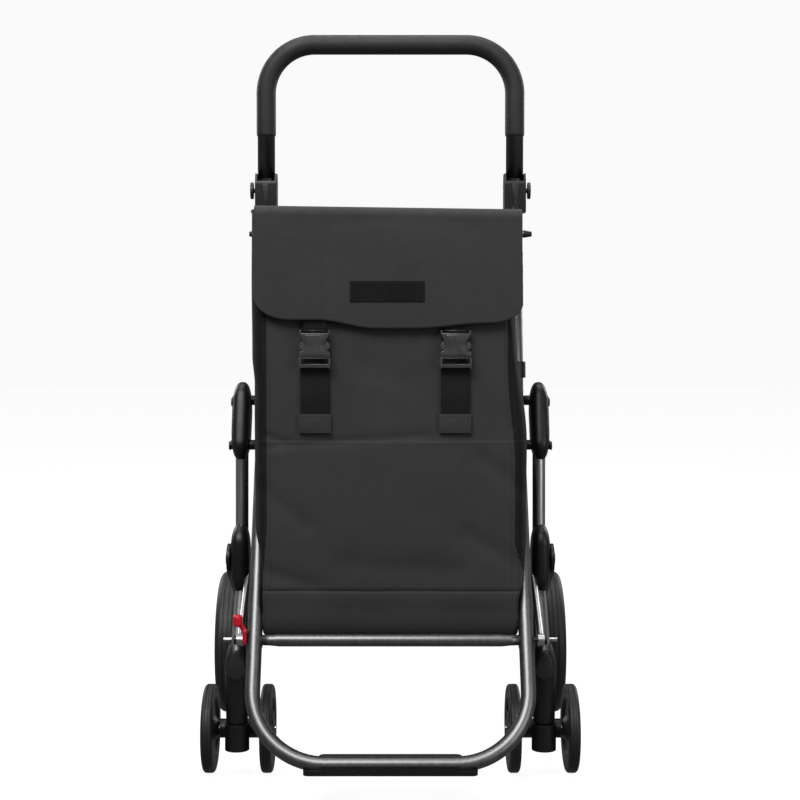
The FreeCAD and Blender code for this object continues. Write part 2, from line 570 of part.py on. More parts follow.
# ---------------------------------------------------------------- fold latch lever
lever_pivot = Vector(-frame_x - size("frame_r") - 0.6, brace_low.y, brace_low.z)
lever_plate = padded_body("lever_plate", capsule((0, 0), size("lever_r"),
                                                 (size("lever_bend_y"), size("lever_bend_z")),
                                                 size("lever_end_r")),
                          cell("lever_thick"), lever_pivot - X_AXIS * size("lever_thick"))
lever_bend = lever_pivot + Vector(-size("lever_thick") / 2, size("lever_bend_y"), size("lever_bend_z"))
knob_at = Vector(size("lever_knob_x"), lever_pivot.y + size("lever_knob_y"),
                 lever_pivot.z + size("lever_knob_z"))
lever_stem = rod("lever_stem", cell("lever_stem_r"), lever_bend, knob_at)
lever_knob = padded_body("lever_knob", [Part.Circle(Vector(0, 0, 0), Vector(0, 0, 1), size("lever_knob_r"))],
                         cell("lever_knob_high"), knob_at - Vector(0, 0, size("lever_knob_high") / 2),
                         role="XY_Plane")
round_edges(lever_knob, cell("lever_knob_round"), lambda e: e.Length > size("lever_knob_high") + 1)
lever_bore = doc.addObject("Part::Cylinder", "lever_bore")
bind(lever_bore, Radius=f"{cell('bolt_r')} + {cell('running_gap')}", Height="8")
place(lever_bore, lever_pivot - X_AXIS * 6, X_AXIS)
lever_solid = fuse("lever_solid", lever_plate, lever_stem, lever_knob)
keep("latch_lever", cut("latch_lever", lever_solid, lever_bore))

# ---------------------------------------------------------------- bag


def bag_block(name, inset, top):
    """The bag's bulk, inset on every side: a narrow box between the frame tubes, and wings
    that widen it in front of the leaning tubes."""
    narrow = doc.addObject("Part::Box", name + "_narrow")
    bind(narrow, Length=f"2 * ({cell('bag_half')} - {inset})",
         Width=f"{cell('bag_back_y')} - {cell('bag_front_y')} - 2 * {inset}",
         Height=f"{top} - {cell('bag_low_z')} - {inset}")
    place(narrow, Vector(-size("bag_half") + inset, size("bag_front_y") + inset,
                         size("bag_low_z") + inset))
    wing_outline = polygon([
        (size("bag_front_y") + inset, size("wing_low_z") + inset * 2.5), (size("bag_front_y") + inset, top),
        (size("wing_top_back_y") - inset, top),
        (size("wing_back_y") - inset, size("wing_back_z")),
    ])
    wings = padded_body(name + "_wings", wing_outline, f"2 * ({cell('wing_half')} - {inset})",
                        Vector(0, 0, 0), midplane=True)
    return fuse(name, narrow, wings)


bag_wall = size("bag_wall")
keep("bag_body", cut("bag_body", bag_block("bag_outside", 0, size("bag_top_z")),
                     bag_block("bag_inside", bag_wall, size("bag_top_z") + 5)))
board_edge = bag_wall + size("board_gap")
board = doc.addObject("Part::Box", "bag_base_board")
bind(board, Length=f"2 * ({cell('bag_half')} - {board_edge})",
     Width=f"{cell('bag_back_y')} - {cell('bag_front_y')} - 2 * {board_edge}",
     Height=cell("board_thick"))
place(board, Vector(-size("bag_half") + board_edge, size("bag_front_y") + board_edge,
                    size("bag_low_z") + bag_wall))
keep("bag_base_board", board)

flap_top = size("bag_top_z") + size("flap_lift") + size("flap_thick")
flap_inside = size("bag_front_y") - size("flap_gap")
flap_outside = flap_inside - size("flap_thick")
flap_section = [
    (size("flap_hinge_y"), flap_top - size("flap_thick")), (size("flap_hinge_y"), flap_top),
    (flap_outside + 14, flap_top), (flap_outside + 3, flap_top - 5), (flap_outside, flap_top - 16),
    (flap_outside, size("flap_low_z")), (flap_inside, size("flap_low_z")),
    (flap_inside, flap_top - 16), (flap_inside + 4, flap_top - size("flap_thick") - 3),
    (flap_inside + 10, flap_top - size("flap_thick")),
]
flap = padded_body("bag_flap", polygon(flap_section), f"2 * {cell('flap_half')}", Vector(0, 0, 0),
                   midplane=True)
round_edges(flap, cell("flap_corner_r"),
            lambda e: all(abs(v.Z - size("flap_low_z")) < 0.01 for v in e.Vertexes)
            and abs(e.Vertexes[0].Y - e.Vertexes[-1].Y) > 1)
keep("bag_flap", flap)
keep("label_patch", box("label_patch", cell("patch_long"), cell("patch_thick"), cell("patch_high"),
                        Vector(size("patch_x") - size("patch_long") / 2,
                               flap_outside - size("patch_thick"), size("patch_z"))))

# ---------------------------------------------------------------- straps, tabs and buckles
buckle_front = flap_outside - 2
strap_half = size("strap_wide") / 2
lower_straps = []
strap_tabs = []
upper_straps = []
females = []
female_window_z = size("buckle_top_z") - 8
for side, centre_x in (("left", size("buckle_left_x")), ("right", size("buckle_right_x"))):
    wide_corner = centre_x - strap_half
    lower_straps.append(box("lower_strap_" + side, cell("strap_wide"), cell("strap_thick"),
                            f"{cell('buckle_low_z')} + 6 - {cell('strap_end_z')}",
                            Vector(wide_corner, size("bag_front_y") - size("strap_thick"),
                                   size("strap_end_z"))))
    tab_corner = Vector(centre_x - size("tab_wide") / 2, size("bag_front_y") - size("tab_thick"),
                        size("strap_end_z") - size("tab_high"))
    strap_tabs.append(box("strap_tab_" + side, cell("tab_wide"), cell("tab_thick"), cell("tab_high"),
                          tab_corner))
    upper_straps.append(box("upper_strap_" + side, "Sizes.strap_wide - 8", cell("strap_thick"),
                            "44", Vector(wide_corner + 4, flap_inside + 0.2, female_window_z + 1)))
    shell = box("buckle_shell_" + side, cell("buckle_wide"), cell("buckle_thick"),
                f"{cell('buckle_top_z')} - {cell('buckle_seam_z')}",
                Vector(centre_x - size("buckle_wide") / 2, buckle_front, size("buckle_seam_z")))
    slot_room = box("buckle_slot_" + side, f"{cell('buckle_wide')} - 8",
                    f"{cell('prong_thick')} + 0.8", f"{cell('prong_high')} + 2",
                    Vector(centre_x - size("buckle_wide") / 2 + 4, buckle_front + 2.1,
                           size("buckle_seam_z") - 1))
    strap_room = box("buckle_strap_room_" + side, "Sizes.strap_wide - 6", "8", "12",
                     Vector(wide_corner + 3, flap_inside - 0.2, female_window_z))
    females.append(cut("buckle_female_" + side, shell, slot_room, strap_room))

    male_body = box("male_body_" + side, cell("buckle_wide"), cell("buckle_thick"),
                    f"{cell('buckle_seam_z')} - {cell('buckle_low_z')} - 0.4",
                    Vector(centre_x - size("buckle_wide") / 2, buckle_front, size("buckle_low_z")))
    male_window = box("male_window_" + side, cell("strap_window_wide"), "20", cell("bar_window_high"),
                      Vector(centre_x - size("strap_window_wide") / 2, buckle_front - 5,
                             size("buckle_low_z") + 5.5))
    prongs = []
    prong_reach = size("buckle_wide") / 2 - 4.8
    for offset in (-prong_reach, -size("prong_wide") / 2, prong_reach - size("prong_wide")):
        prongs.append(box("prong_" + side, cell("prong_wide"), cell("prong_thick"),
                          f"{cell('prong_high')} + 2",
                          Vector(centre_x + offset, buckle_front + 2.5, size("buckle_seam_z") - 2.4)))
    keep("buckle_male_" + side, cut("buckle_male_" + side, fuse("male_solid_" + side, male_body, *prongs),
                                    male_window))
group("lower_straps", *lower_straps)
group("strap_tabs", *strap_tabs)
group("upper_straps", *upper_straps)
group("buckle_females", *females)

# ---------------------------------------------------------------- check and write
doc.recompute()
failed = [item.Name for item in doc.Objects if "Invalid" in item.State or "Error" in item.State]
if failed:
    raise RuntimeError("these objects failed: " + ", ".join(failed))
for item in sub_parts:
    if item.Shape.isNull() or not item.Shape.isValid() or not item.Shape.Solids:
        raise RuntimeError("bad shape: " + item.Label)
os.makedirs("parts", exist_ok=True)
for item in sub_parts:
    item.Shape.exportStep(f"parts/{item.Label}.step")
print(len(sub_parts), "sub-parts written")
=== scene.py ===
import json
import math

import bmesh
import bpy
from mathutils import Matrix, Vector, noise
from mathutils.bvhtree import BVHTree


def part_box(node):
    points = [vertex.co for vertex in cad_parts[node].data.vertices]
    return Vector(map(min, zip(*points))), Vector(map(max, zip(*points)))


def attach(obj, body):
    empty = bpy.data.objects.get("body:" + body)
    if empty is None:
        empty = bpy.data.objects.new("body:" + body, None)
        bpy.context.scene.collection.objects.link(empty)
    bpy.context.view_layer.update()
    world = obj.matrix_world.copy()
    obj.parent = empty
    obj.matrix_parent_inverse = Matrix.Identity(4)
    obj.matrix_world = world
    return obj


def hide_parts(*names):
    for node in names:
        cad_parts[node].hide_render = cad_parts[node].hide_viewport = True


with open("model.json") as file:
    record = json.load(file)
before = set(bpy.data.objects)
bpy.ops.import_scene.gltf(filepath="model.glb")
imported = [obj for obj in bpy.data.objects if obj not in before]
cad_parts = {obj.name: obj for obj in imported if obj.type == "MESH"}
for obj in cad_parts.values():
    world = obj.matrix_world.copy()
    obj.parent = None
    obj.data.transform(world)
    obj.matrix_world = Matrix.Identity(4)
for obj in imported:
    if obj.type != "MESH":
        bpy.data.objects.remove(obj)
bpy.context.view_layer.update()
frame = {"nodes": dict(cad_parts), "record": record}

MM = 0.001
NEUTRAL = (1.0, 1.0, 1.03)
NODES = frame["nodes"]
SETTLE_FRAMES = 16
CLOTH_SETTINGS = {"quality": 5, "mass": 0.25, "tension_stiffness": 12, "compression_stiffness": 12,
                  "shear_stiffness": 4, "bending_stiffness": 0.4, "vertex_group_mass": "held"}
WEB_THICK = 1.6 * MM


# --- materials ---


def set_inputs(node, values):
    """Set inputs of a shader node by name."""
    for key, value in values.items():
        node.inputs[key].default_value = value
    return node


class Shader:
    """A node material whose colour, roughness and bump all vary over the surface."""

    def __init__(self, name, roughness, metallic=0.0, sheen=0.0, coat=0.0, specular=0.5):
        self.material = bpy.data.materials.new(name)
        self.material.use_nodes = True
        self.nodes = self.material.node_tree.nodes
        self.links = self.material.node_tree.links
        self.bsdf = set_inputs(self.nodes["Principled BSDF"], {
            "Roughness": roughness, "Metallic": metallic, "Sheen Weight": sheen,
            "Sheen Roughness": 0.45, "Coat Weight": coat, "Specular IOR Level": specular})
        self.place = self.nodes.new("ShaderNodeTexCoord").outputs["Object"]

    def node(self, kind, values):
        return set_inputs(self.nodes.new("ShaderNode" + kind), values)

    def noise(self, scale, detail=4.0, stretch=(1, 1, 1)):
        mapping = self.node("Mapping", {"Scale": stretch})
        self.links.new(self.place, mapping.inputs["Vector"])
        texture = self.node("TexNoise", {"Scale": scale, "Detail": detail})
        self.links.new(mapping.outputs["Vector"], texture.inputs["Vector"])
        return texture.outputs["Fac"]

    def threads(self, pitch, direction):
        """Parallel ridges, one per pitch metres, across the given axis."""
        scale = math.pi / (10 * pitch)
        texture = self.node("TexWave", {"Scale": scale, "Distortion": 0.4, "Detail": 1.0})
        texture.bands_direction = direction
        self.links.new(self.place, texture.inputs["Vector"])
        return texture.outputs["Fac"]

    def math(self, operation, a, b):
        node = self.nodes.new("ShaderNodeMath")
        node.operation = operation
        for value, socket in ((a, node.inputs[0]), (b, node.inputs[1])):
            if isinstance(value, (int, float)):
                socket.default_value = value
            else:
                self.links.new(value, socket)
        return node.outputs[0]

    def colour(self, factor, dark, light, low=0.3, high=0.7):
        ramp = self.nodes.new("ShaderNodeValToRGB")
        ramp.color_ramp.elements[0].position = low
        ramp.color_ramp.elements[1].position = high
        ramp.color_ramp.elements[0].color = (*dark, 1)
        ramp.color_ramp.elements[1].color = (*light, 1)
        self.links.new(factor, ramp.inputs["Fac"])
        self.links.new(ramp.outputs["Color"], self.bsdf.inputs["Base Color"])

    def roughness(self, factor, low, high):
        spread = self.node("MapRange", {"To Min": low, "To Max": high})
        self.links.new(factor, spread.inputs["Value"])
        self.links.new(spread.outputs["Result"], self.bsdf.inputs["Roughness"])

    def bump(self, height, depth, strength):
        node = self.node("Bump", {"Distance": depth, "Strength": strength})
        self.links.new(height, node.inputs["Height"])
        self.links.new(node.outputs["Normal"], self.bsdf.inputs["Normal"])


def shades(grey, tint, spread):
    """A darker and a lighter version of a tinted grey."""
    dark = tuple(grey * c * (1 - spread) for c in tint)
    light = tuple(grey * c * (1 + spread) for c in tint)
    return dark, light


def cloth_material(name, grey, pitch, sheen, specular):
    """Woven cloth with threads along every axis and fine loose fibres."""
    shader = Shader(name, 0.8, sheen=sheen, specular=specular)
    weave = shader.math("ADD", shader.threads(pitch, "X"), shader.threads(pitch, "Z"))
    across = shader.math("ADD", weave, shader.threads(pitch, "Y"))
    shader.colour(shader.noise(9, 5), *shades(grey, NEUTRAL, 0.1))
    shader.roughness(shader.noise(60), 0.66, 0.86)
    fibres = shader.math("MULTIPLY", shader.noise(1400, 3), 1.5)
    shader.bump(shader.math("ADD", across, fibres), 0.00018, 0.35)
    return shader.material


def plastic_material(name, grey, roughness, grain, tint=NEUTRAL, coat=0.0, spread=0.18, specular=0.28):
    shader = Shader(name, roughness, coat=coat, specular=specular)
    shader.colour(shader.noise(40), *shades(grey, tint, spread))
    shader.roughness(shader.noise(160), roughness - 0.07, roughness + 0.09)
    shader.bump(shader.noise(1600, 3), 0.00012, grain)
    return shader.material


def metal_material(name, grey, roughness, stretch):
    """Drawn or painted tube: fine streaks along it and slow changes of tone."""
    shader = Shader(name, roughness, metallic=1.0)
    streaks = shader.noise(220, 5, stretch)
    shader.colour(streaks, *shades(grey, NEUTRAL, 0.12))
    shader.roughness(streaks, roughness - 0.06, roughness + 0.08)
    shader.bump(shader.noise(900, 3, stretch), 0.00005, 0.25)
    return shader.material


def rubber_material(name, grey, roughness, scale, depth):
    shader = Shader(name, roughness, specular=0.35)
    shader.colour(shader.noise(55), *shades(grey, (1, 1, 1), 0.2))
    shader.roughness(shader.noise(90), roughness - 0.1, roughness + 0.08)
    shader.bump(shader.noise(scale, 4), depth, 0.5)
    return shader.material


METALS = {
    # grey, roughness, stretch of the streaks along X, Y and Z
    "frame_paint": (0.13, 0.40, (1, 1, 0.08)),
    "silver_tube": (0.33, 0.30, (1, 1, 0.08)),
    "bright_steel": (0.5, 0.18, (0.1, 1, 1)),
    "black_tube": (0.07, 0.36, (1, 1, 0.08)),
}
PLASTICS = {
    # grey, roughness, grain
    "black_plastic": (0.004, 0.40, 0.5),
    "grey_plastic": (0.013, 0.42, 0.5),
    "base_board": (0.02, 0.6, 0.4),
    "buckle_pad": (0.035, 0.35, 0.3),
}
RUBBERS = {
    # grey, roughness, scale and depth of the grain
    "grip_foam": (0.010, 0.62, 1500, 0.0003),
    "tyre": (0.007, 0.55, 500, 0.0002),
}
CLOTHS = {
    # grey, pitch of the threads in metres, sheen, specular
    "bag_fabric": (0.018, 0.0011, 0.06, 0.3),
    # gusset cloth: darker than the bag fabric, painted shade for the side panels that turn away from the
    # light
    "gusset_cloth": (0.005, 0.0011, 0.0, 0.15),
    "webbing": (0.005, 0.0020, 0.0, 0.15),
    "label_cloth": (0.003, 0.0007, 0.0, 0.15),
    "thread": (0.014, 0.0009, 0.0, 0.3),
}
MATERIALS = {
    "buckle_plastic": plastic_material("buckle_plastic", 0.026, 0.30, 0.3, coat=0.2, specular=0.5),
    "red_plastic": plastic_material("red_plastic", 0.40, 0.36, 0.2, tint=(1.0, 0.012, 0.04), spread=0.08),
}
for make_material, values_of in ((metal_material, METALS), (plastic_material, PLASTICS),
                                 (rubber_material, RUBBERS), (cloth_material, CLOTHS)):
    for material_name, values in values_of.items():
        MATERIALS[material_name] = make_material(material_name, *values)
slot_of = {part["node"]: part["material_slot"] for part in frame["record"]["subparts"]}


def paint(piece, slot):
    piece.data.materials.clear()
    piece.data.materials.append(MATERIALS[slot])
    return piece


for node_name, node_object in NODES.items():
    for material_slot in node_object.material_slots:
        material_slot.material = MATERIALS[slot_of[node_name]]


# --- mesh helpers ---


def add_object(name, data):
    piece = bpy.data.objects.new(name, data)
    bpy.context.scene.collection.objects.link(piece)
    return piece


def link_mesh(name, verts, faces):
    mesh = bpy.data.meshes.new(name)
    mesh.from_pydata([tuple(v) for v in verts], [], faces)
    mesh.validate()
    mesh.shade_smooth()
    return add_object(name, mesh)


def grid_faces(rows, columns, closed_across=False, closed_along=False):
    """Quads between neighbouring points of a grid, joined round at its ends if closed."""
    faces = []
    for i in range(rows if closed_along else rows - 1):
        for j in range(columns if closed_across else columns - 1):
            a, b = i % rows, (i + 1) % rows
            c, d = j % columns, (j + 1) % columns
            faces.append((a * columns + c, a * columns + d, b * columns + d, b * columns + c))
    return faces


def tube_faces(rings, count):
    """Faces of a row of rings of count points each, with a cap at both ends."""
    last = (rings - 1) * count
    caps = [tuple(reversed(range(count))), tuple(range(last, last + count))]
    return grid_faces(rings, count, closed_across=True) + caps


def modify(piece, kind, **settings):
    modifier = piece.modifiers.new(kind.lower(), kind)
    for key, value in settings.items():
        setattr(modifier, key, value)
    return modifier


def bake(piece):
    """Apply every modifier, so that the mesh is final."""
    graph = bpy.context.evaluated_depsgraph_get()
    mesh = bpy.data.meshes.new_from_object(piece.evaluated_get(graph))
    piece.modifiers.clear()
    piece.data = mesh
    return piece


def outward(piece):
    shape = bmesh.new()
    shape.from_mesh(piece.data)
    bmesh.ops.recalc_face_normals(shape, faces=shape.faces)
    shape.to_mesh(piece.data)
    shape.free()
    return piece


def rounded_route(corners, radii, steps):
    """Points along straight runs joined by tangent arcs."""
    points = [corners[0]]
    for before, corner, after, radius in zip(corners, corners[1:], corners[2:], radii):
        back = (before - corner).normalized()
        ahead = (after - corner).normalized()
        half = back.angle(ahead) / 2
        centre = corner + (back + ahead).normalized() * (radius / math.sin(half))
        first = corner + back * (radius / math.tan(half)) - centre
        last = corner + ahead * (radius / math.tan(half)) - centre
        for step in range(steps + 1):
            points.append(centre + first.slerp(last, step / steps).normalized() * radius)
    points.append(corners[-1])
    return points


def sweep(name, route, radius, sides, radii=None):
    """A round tube along a route, with one ring per point."""
    verts = []
    normal = None
    for index, point in enumerate(route):
        ahead = route[min(index + 1, len(route) - 1)] - route[max(index - 1, 0)]
        ahead.normalize()
        if normal is None:
            normal = ahead.orthogonal().normalized()
        normal = (normal - ahead * normal.dot(ahead)).normalized()
        across = ahead.cross(normal)
        ring_radius = radii[index] if radii else radius
        for side in range(sides):
            angle = 2 * math.pi * side / sides
            verts.append(point + (normal * math.cos(angle) + across * math.sin(angle)) * ring_radius)
    return outward(link_mesh(name, verts, tube_faces(len(route), sides)))


def lathe(name, profile, centre, sides, closed=True):
    """Turn an (x, radius) outline about the X axis through centre."""
    verts = []
    for along, radius in profile:
        for side in range(sides):
            angle = 2 * math.pi * side / sides
            verts.append(centre + Vector((along, radius * math.cos(angle), radius * math.sin(angle))))
    faces = grid_faces(len(profile), sides, closed_across=True, closed_along=closed)
    return outward(link_mesh(name, verts, faces))


def soften(piece, width, segments=3):
    modify(piece, "BEVEL", width=width, segments=segments, limit_method="ANGLE",
           angle_limit=math.radians(30))
    bake(piece)
    piece.data.shade_smooth()
    piece.data.set_sharp_from_angle(angle=math.radians(45))
    return piece


def slab(name, outline, axis, low, high, bevel, holes=()):
    """Extrude an outline of (a, b) points between two places on an axis, edges bevelled."""
    def at(a, b, depth):
        return Vector((depth, a, b)) if axis == "X" else Vector((a, depth, b))

    shape = bmesh.new()
    edges = []
    for loop in (outline, *holes):
        ring = [shape.verts.new(at(a, b, low)) for a, b in loop]
        edges += [shape.edges.new((p, q)) for p, q in zip(ring, ring[1:] + ring[:1])]
    bmesh.ops.triangle_fill(shape, use_beauty=True, use_dissolve=True, edges=edges)
    bottom = list(shape.faces)
    grown = bmesh.ops.extrude_face_region(shape, geom=bottom)
    shift = at(0, 0, high - low)
    moved = [v for v in grown["geom"] if isinstance(v, bmesh.types.BMVert)]
    bmesh.ops.translate(shape, verts=moved, vec=shift)
    bmesh.ops.recalc_face_normals(shape, faces=shape.faces)
    mesh = bpy.data.meshes.new(name)
    shape.to_mesh(mesh)
    shape.free()
    return soften(add_object(name, mesh), bevel)


def arc_points(centre, radius, start, end, steps=12):
    """(a, b) points on an arc, angles in degrees."""
    points = []
    for step in range(steps + 1):
        angle = math.radians(start + (end - start) * step / steps)
        points.append((centre[0] + radius * math.cos(angle), centre[1] + radius * math.sin(angle)))
    return points


def rectangle(a_low, a_high, b_low, b_high):
    return [(a_low, b_low), (a_high, b_low), (a_high, b_high), (a_low, b_high)]


def mirrored(x, right):
    """A symmetric outline, from the (distance from x, z) points of its right half."""
    return [(x + a, z) for a, z in right] + [(x - a, z) for a, z in reversed(right)]


def capsule(a, radius_a, b, radius_b, steps=22):
    """Two discs and their outer tangents, as an outline."""
    along = Vector((b[0] - a[0], b[1] - a[1]))
    lean = math.degrees(math.acos((radius_a - radius_b) / along.length))
    base = math.degrees(math.atan2(along.y, along.x))
    first = arc_points(a, radius_a, base + lean, base + 360 - lean, steps)
    second = arc_points(b, radius_b, base - lean, base + lean, steps)
    return first + second


def smooth(value, low, high):
    t = min(max((value - low) / (high - low), 0.0), 1.0)
    return t * t * (3 - 2 * t)


def round_node(name, width):
    """Round a CAD node's sharp edges with modifiers; its own mesh stays as it is."""
    node = NODES[name]
    modify(node, "WELD", merge_threshold=0.01 * MM)
    modify(node, "DECIMATE", decimate_type="DISSOLVE", angle_limit=math.radians(2))
    modify(node, "BEVEL", width=width, segments=3, limit_method="ANGLE", angle_limit=math.radians(32))
    modify(node, "WEIGHTED_NORMAL", keep_sharp=True)
    node.data.shade_smooth()


def surface_tree(piece):
    mesh = piece.data
    return BVHTree.FromPolygons([v.co for v in mesh.vertices], [tuple(f.vertices) for f in mesh.polygons])


def front_point(tree, x, z, lift):
    """The point of a surface first met from the front at (x, z), moved forward by lift."""
    start = Vector((x, -1.0, z))
    hit = tree.ray_cast(start, Vector((0, 1, 0)))[0]
    return hit - Vector((0, lift, 0)) if hit else None


def on_front(tree, spots, lift):
    """The surface points in front of (x, z) spots, leaving out those off its edge."""
    found = [front_point(tree, x, z, lift) for x, z in spots]
    return [point for point in found if point]


def settle(piece, held, slack, cap):
    """Let cloth hang under its own weight while held points stay; no point moves more than cap."""
    group = piece.vertex_groups.new(name="held")
    for index, weight in enumerate(held):
        group.add([index], weight, "REPLACE")
    before = [v.co.copy() for v in piece.data.vertices]
    cloth = piece.modifiers.new("cloth", "CLOTH")
    for key, value in CLOTH_SETTINGS.items():
        setattr(cloth.settings, key, value)
    cloth.settings.shrink_min = -slack
    cloth.collision_settings.use_collision = False
    for step in range(1, SETTLE_FRAMES + 1):
        bpy.context.scene.frame_set(step)
    graph = bpy.context.evaluated_depsgraph_get()
    mesh = bpy.data.meshes.new_from_object(piece.evaluated_get(graph))
    for vert, start in zip(mesh.vertices, before):
        move = vert.co - start
        if move.length > cap:
            vert.co = start + move * (cap / move.length)
    piece.modifiers.clear()
    piece.data = mesh
    piece.vertex_groups.clear()
    bpy.context.scene.frame_set(1)
    return piece


def stitches(name, route, body, pitch=3.4 * MM, length=2.3 * MM, radius=0.38 * MM):
    """Short thread dashes that follow a route on the surface."""
    verts = []
    faces = []
    travelled = 0.0
    next_at = pitch
    for a, b in zip(route, route[1:]):
        span = (b - a).length
        while next_at <= travelled + span and span > 0:
            direction = (b - a).normalized()
            centre = a + direction * (next_at - travelled)
            side = direction.orthogonal().normalized()
            up = direction.cross(side)
            base = len(verts)
            for shift, scale in ((-0.5, 0.35), (-0.3, 1.0), (0.3, 1.0), (0.5, 0.35)):
                for k in range(6):
                    angle = math.pi * k / 3
                    verts.append(centre + direction * (length * shift)
                                 + (side * math.cos(angle) + up * math.sin(angle)) * radius * scale)
            for face in tube_faces(4, 6):
                faces.append(tuple(base + corner for corner in face))
            next_at += pitch
        travelled += span
    return finish_piece(outward(link_mesh(name, verts, faces)), body, "thread")


def finish_piece(piece, body, slot, *nodes):
    paint(piece, slot)
    if nodes:
        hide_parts(*nodes)
    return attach(piece, body)


def finish_side(piece, body, slot, node):
    """Finish the left or right piece of a mirrored node; the left one replaces the node."""
    nodes = [node] if piece.name.endswith("_left") else []
    return finish_piece(piece, body, slot, *nodes)


# --- camera, light and floor ---


def stage_material(name, albedo, glow):
    """A matt near-white that glows, so that it stays pale far from the lamps."""
    shader = Shader(name, 0.9)
    shader.colour(shader.noise(3), *shades(albedo, (1, 1, 1), 0.01))
    set_inputs(shader.bsdf, {"Emission Color": (1, 1, 1, 1), "Emission Strength": glow})
    return shader.material


def set_stage():
    """The camera at the viewing place, soft lamps, and a pale floor and surround."""
    camera = bpy.data.cameras.new("camera")
    camera.lens = 68.76
    camera.shift_x = 0.0119
    camera.shift_y = -0.025
    holder = add_object("camera", camera)
    holder.location = (0, -2.211, 0.629)
    holder.rotation_euler = (math.radians(90 - 2.468), 0, 0)
    scene = bpy.context.scene
    scene.camera = holder
    scene.view_settings.view_transform = "Standard"

    bpy.ops.mesh.primitive_plane_add(size=24, location=(0, 0, 0))
    floor = bpy.context.object
    floor.name = "floor"
    floor.data.materials.append(stage_material("floor", 0.1, 0.93))
    bpy.ops.mesh.primitive_uv_sphere_add(segments=64, ring_count=32, radius=11)
    backdrop = bpy.context.object
    backdrop.name = "backdrop"
    backdrop.data.shade_smooth()
    backdrop.data.materials.append(stage_material("backdrop", 0.0, 0.95))
    for surround in (floor, backdrop):
        surround.visible_glossy = False
        surround.visible_diffuse = False
        surround.visible_shadow = False

    world = bpy.data.worlds.new("studio")
    world.use_nodes = True
    set_inputs(world.node_tree.nodes["Background"], {"Color": (1, 1, 1, 1), "Strength": 0.20})
    scene.world = world
    for name, spot, aim, power, wide, tall in (
        ("key", (-0.9, -2.6, 3.3), (0, 0, 0.55), 185, 2.4, 1.8),
        ("fill", (2.4, -2.6, 1.2), (0, 0, 0.5), 38, 1.6, 1.6),
        ("top", (0, 0.4, 3.2), (0, 0, 0.4), 60, 2.4, 2.0),
        ("back_left", (-2.4, 2.2, 1.8), (0, 0, 0.5), 45, 1.4, 1.8),
        ("back_right", (2.4, 2.2, 1.8), (0, 0, 0.5), 45, 1.4, 1.8),
    ):
        lamp = bpy.data.lights.new(name, "AREA")
        lamp.shape = "RECTANGLE"
        lamp.energy = power
        lamp.size = wide
        lamp.size_y = tall
        light = add_object(name, lamp)
        light.location = spot
        light.rotation_euler = (Vector(aim) - Vector(spot)).to_track_quat("-Z", "Y").to_euler()


set_stage()

# --- tubes ---

tube_low, tube_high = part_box("main_frame_tube")
TUBE_R = 10 * MM
TUBE_X = tube_high.x - TUBE_R
LOOP = Vector((TUBE_X, tube_low.y + TUBE_R, tube_low.z + TUBE_R))
BEND = Vector((TUBE_X, -0.040, 0.510))
TUBE_TOP = Vector((TUBE_X, -0.0008, tube_high.z - 0.001))
UPPER_BEND = 150 * MM
LOOP_BEND = 95 * MM
HANDLE_BEND = 70 * MM


def other_side(points):
    return [Vector((-p.x, p.y, p.z)) for p in reversed(points)]


def frame_tube():
    side = [TUBE_TOP, BEND, LOOP]
    radii = [UPPER_BEND, LOOP_BEND, LOOP_BEND, UPPER_BEND]
    route = rounded_route(side + other_side(side), radii, 20)
    tube = sweep("frame_tube", route, TUBE_R, 40)
    finish_piece(tube, "frame", "frame_paint", "main_frame_tube")


def crossbar():
    """The bar across the loop, which narrows at each end."""
    low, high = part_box("lower_crossbar")
    centre = (low + high) / 2
    radius = (high.z - low.z) / 2
    reach = high.x - 4 * MM
    step = 12 * MM
    stations = [-reach, step - reach, 2 * step - reach, 0, reach - 2 * step, reach - step, reach]
    route = [Vector((x, centre.y, centre.z)) for x in stations]
    bar = sweep("crossbar", route, radius, 36, [radius * f for f in (0.8, 0.86, 1, 1, 1, 0.86, 0.8)])
    finish_piece(bar, "frame", "frame_paint", "lower_crossbar")


def handle():
    low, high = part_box("handle_tube")
    radius = (high.y - low.y) / 2
    centre_x = high.x - radius
    y = (high.y + low.y) / 2
    top = high.z - radius
    corner = Vector((centre_x, y, top))
    side = [Vector((centre_x, y, low.z)), corner]
    route = rounded_route(side + other_side(side), [HANDLE_BEND] * 2, 24)
    finish_piece(sweep("handle_tube_skin", route, radius, 40), "handle", "black_tube", "handle_tube")
    grip_low, grip_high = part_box("handle_grip")
    grip_r = (grip_high.y - grip_low.y) / 2
    ends = [Vector((centre_x, y, grip_low.z + gap * MM)) for gap in (0, 1.2, 4)]
    side = [ends.pop(), corner]
    inner = rounded_route(side + other_side(side), [HANDLE_BEND] * 2, 28)
    lip = [radius + 0.3 * MM, grip_r - 0.4 * MM]
    radii = lip + [grip_r] * len(inner) + lip[::-1]
    grip = sweep("foam_grip", ends + inner + other_side(ends), grip_r, 44, radii)
    finish_piece(grip, "handle", "grip_foam", "handle_grip")


frame_tube()
crossbar()
handle()

# --- wheels ---


def turned(centre, radius, angle):
    """(y, z) at a radius and an angle in degrees about a wheel's axle."""
    turn = math.radians(angle)
    return centre.y + radius * math.cos(turn), centre.z + radius * math.sin(turn)


def rim_ribs(name, body, centre, face, rise, inner_r, outer_r, count):
    """Raised tapering ribs on one side of a rim's web, from its hub to its edge."""
    ribs = []
    for k in range(count):
        angle = 90 + 360 * k / count
        ribs.append([turned(centre, inner_r, angle - 17), turned(centre, outer_r, angle - 4.5),
                     turned(centre, outer_r, angle + 4.5), turned(centre, inner_r, angle + 17)])
    piece = slab(name, ribs[0], "X", centre.x + face, centre.x + face + rise, 0.9 * MM, holes=ribs[1:])
    finish_piece(piece, body, "grey_plastic")


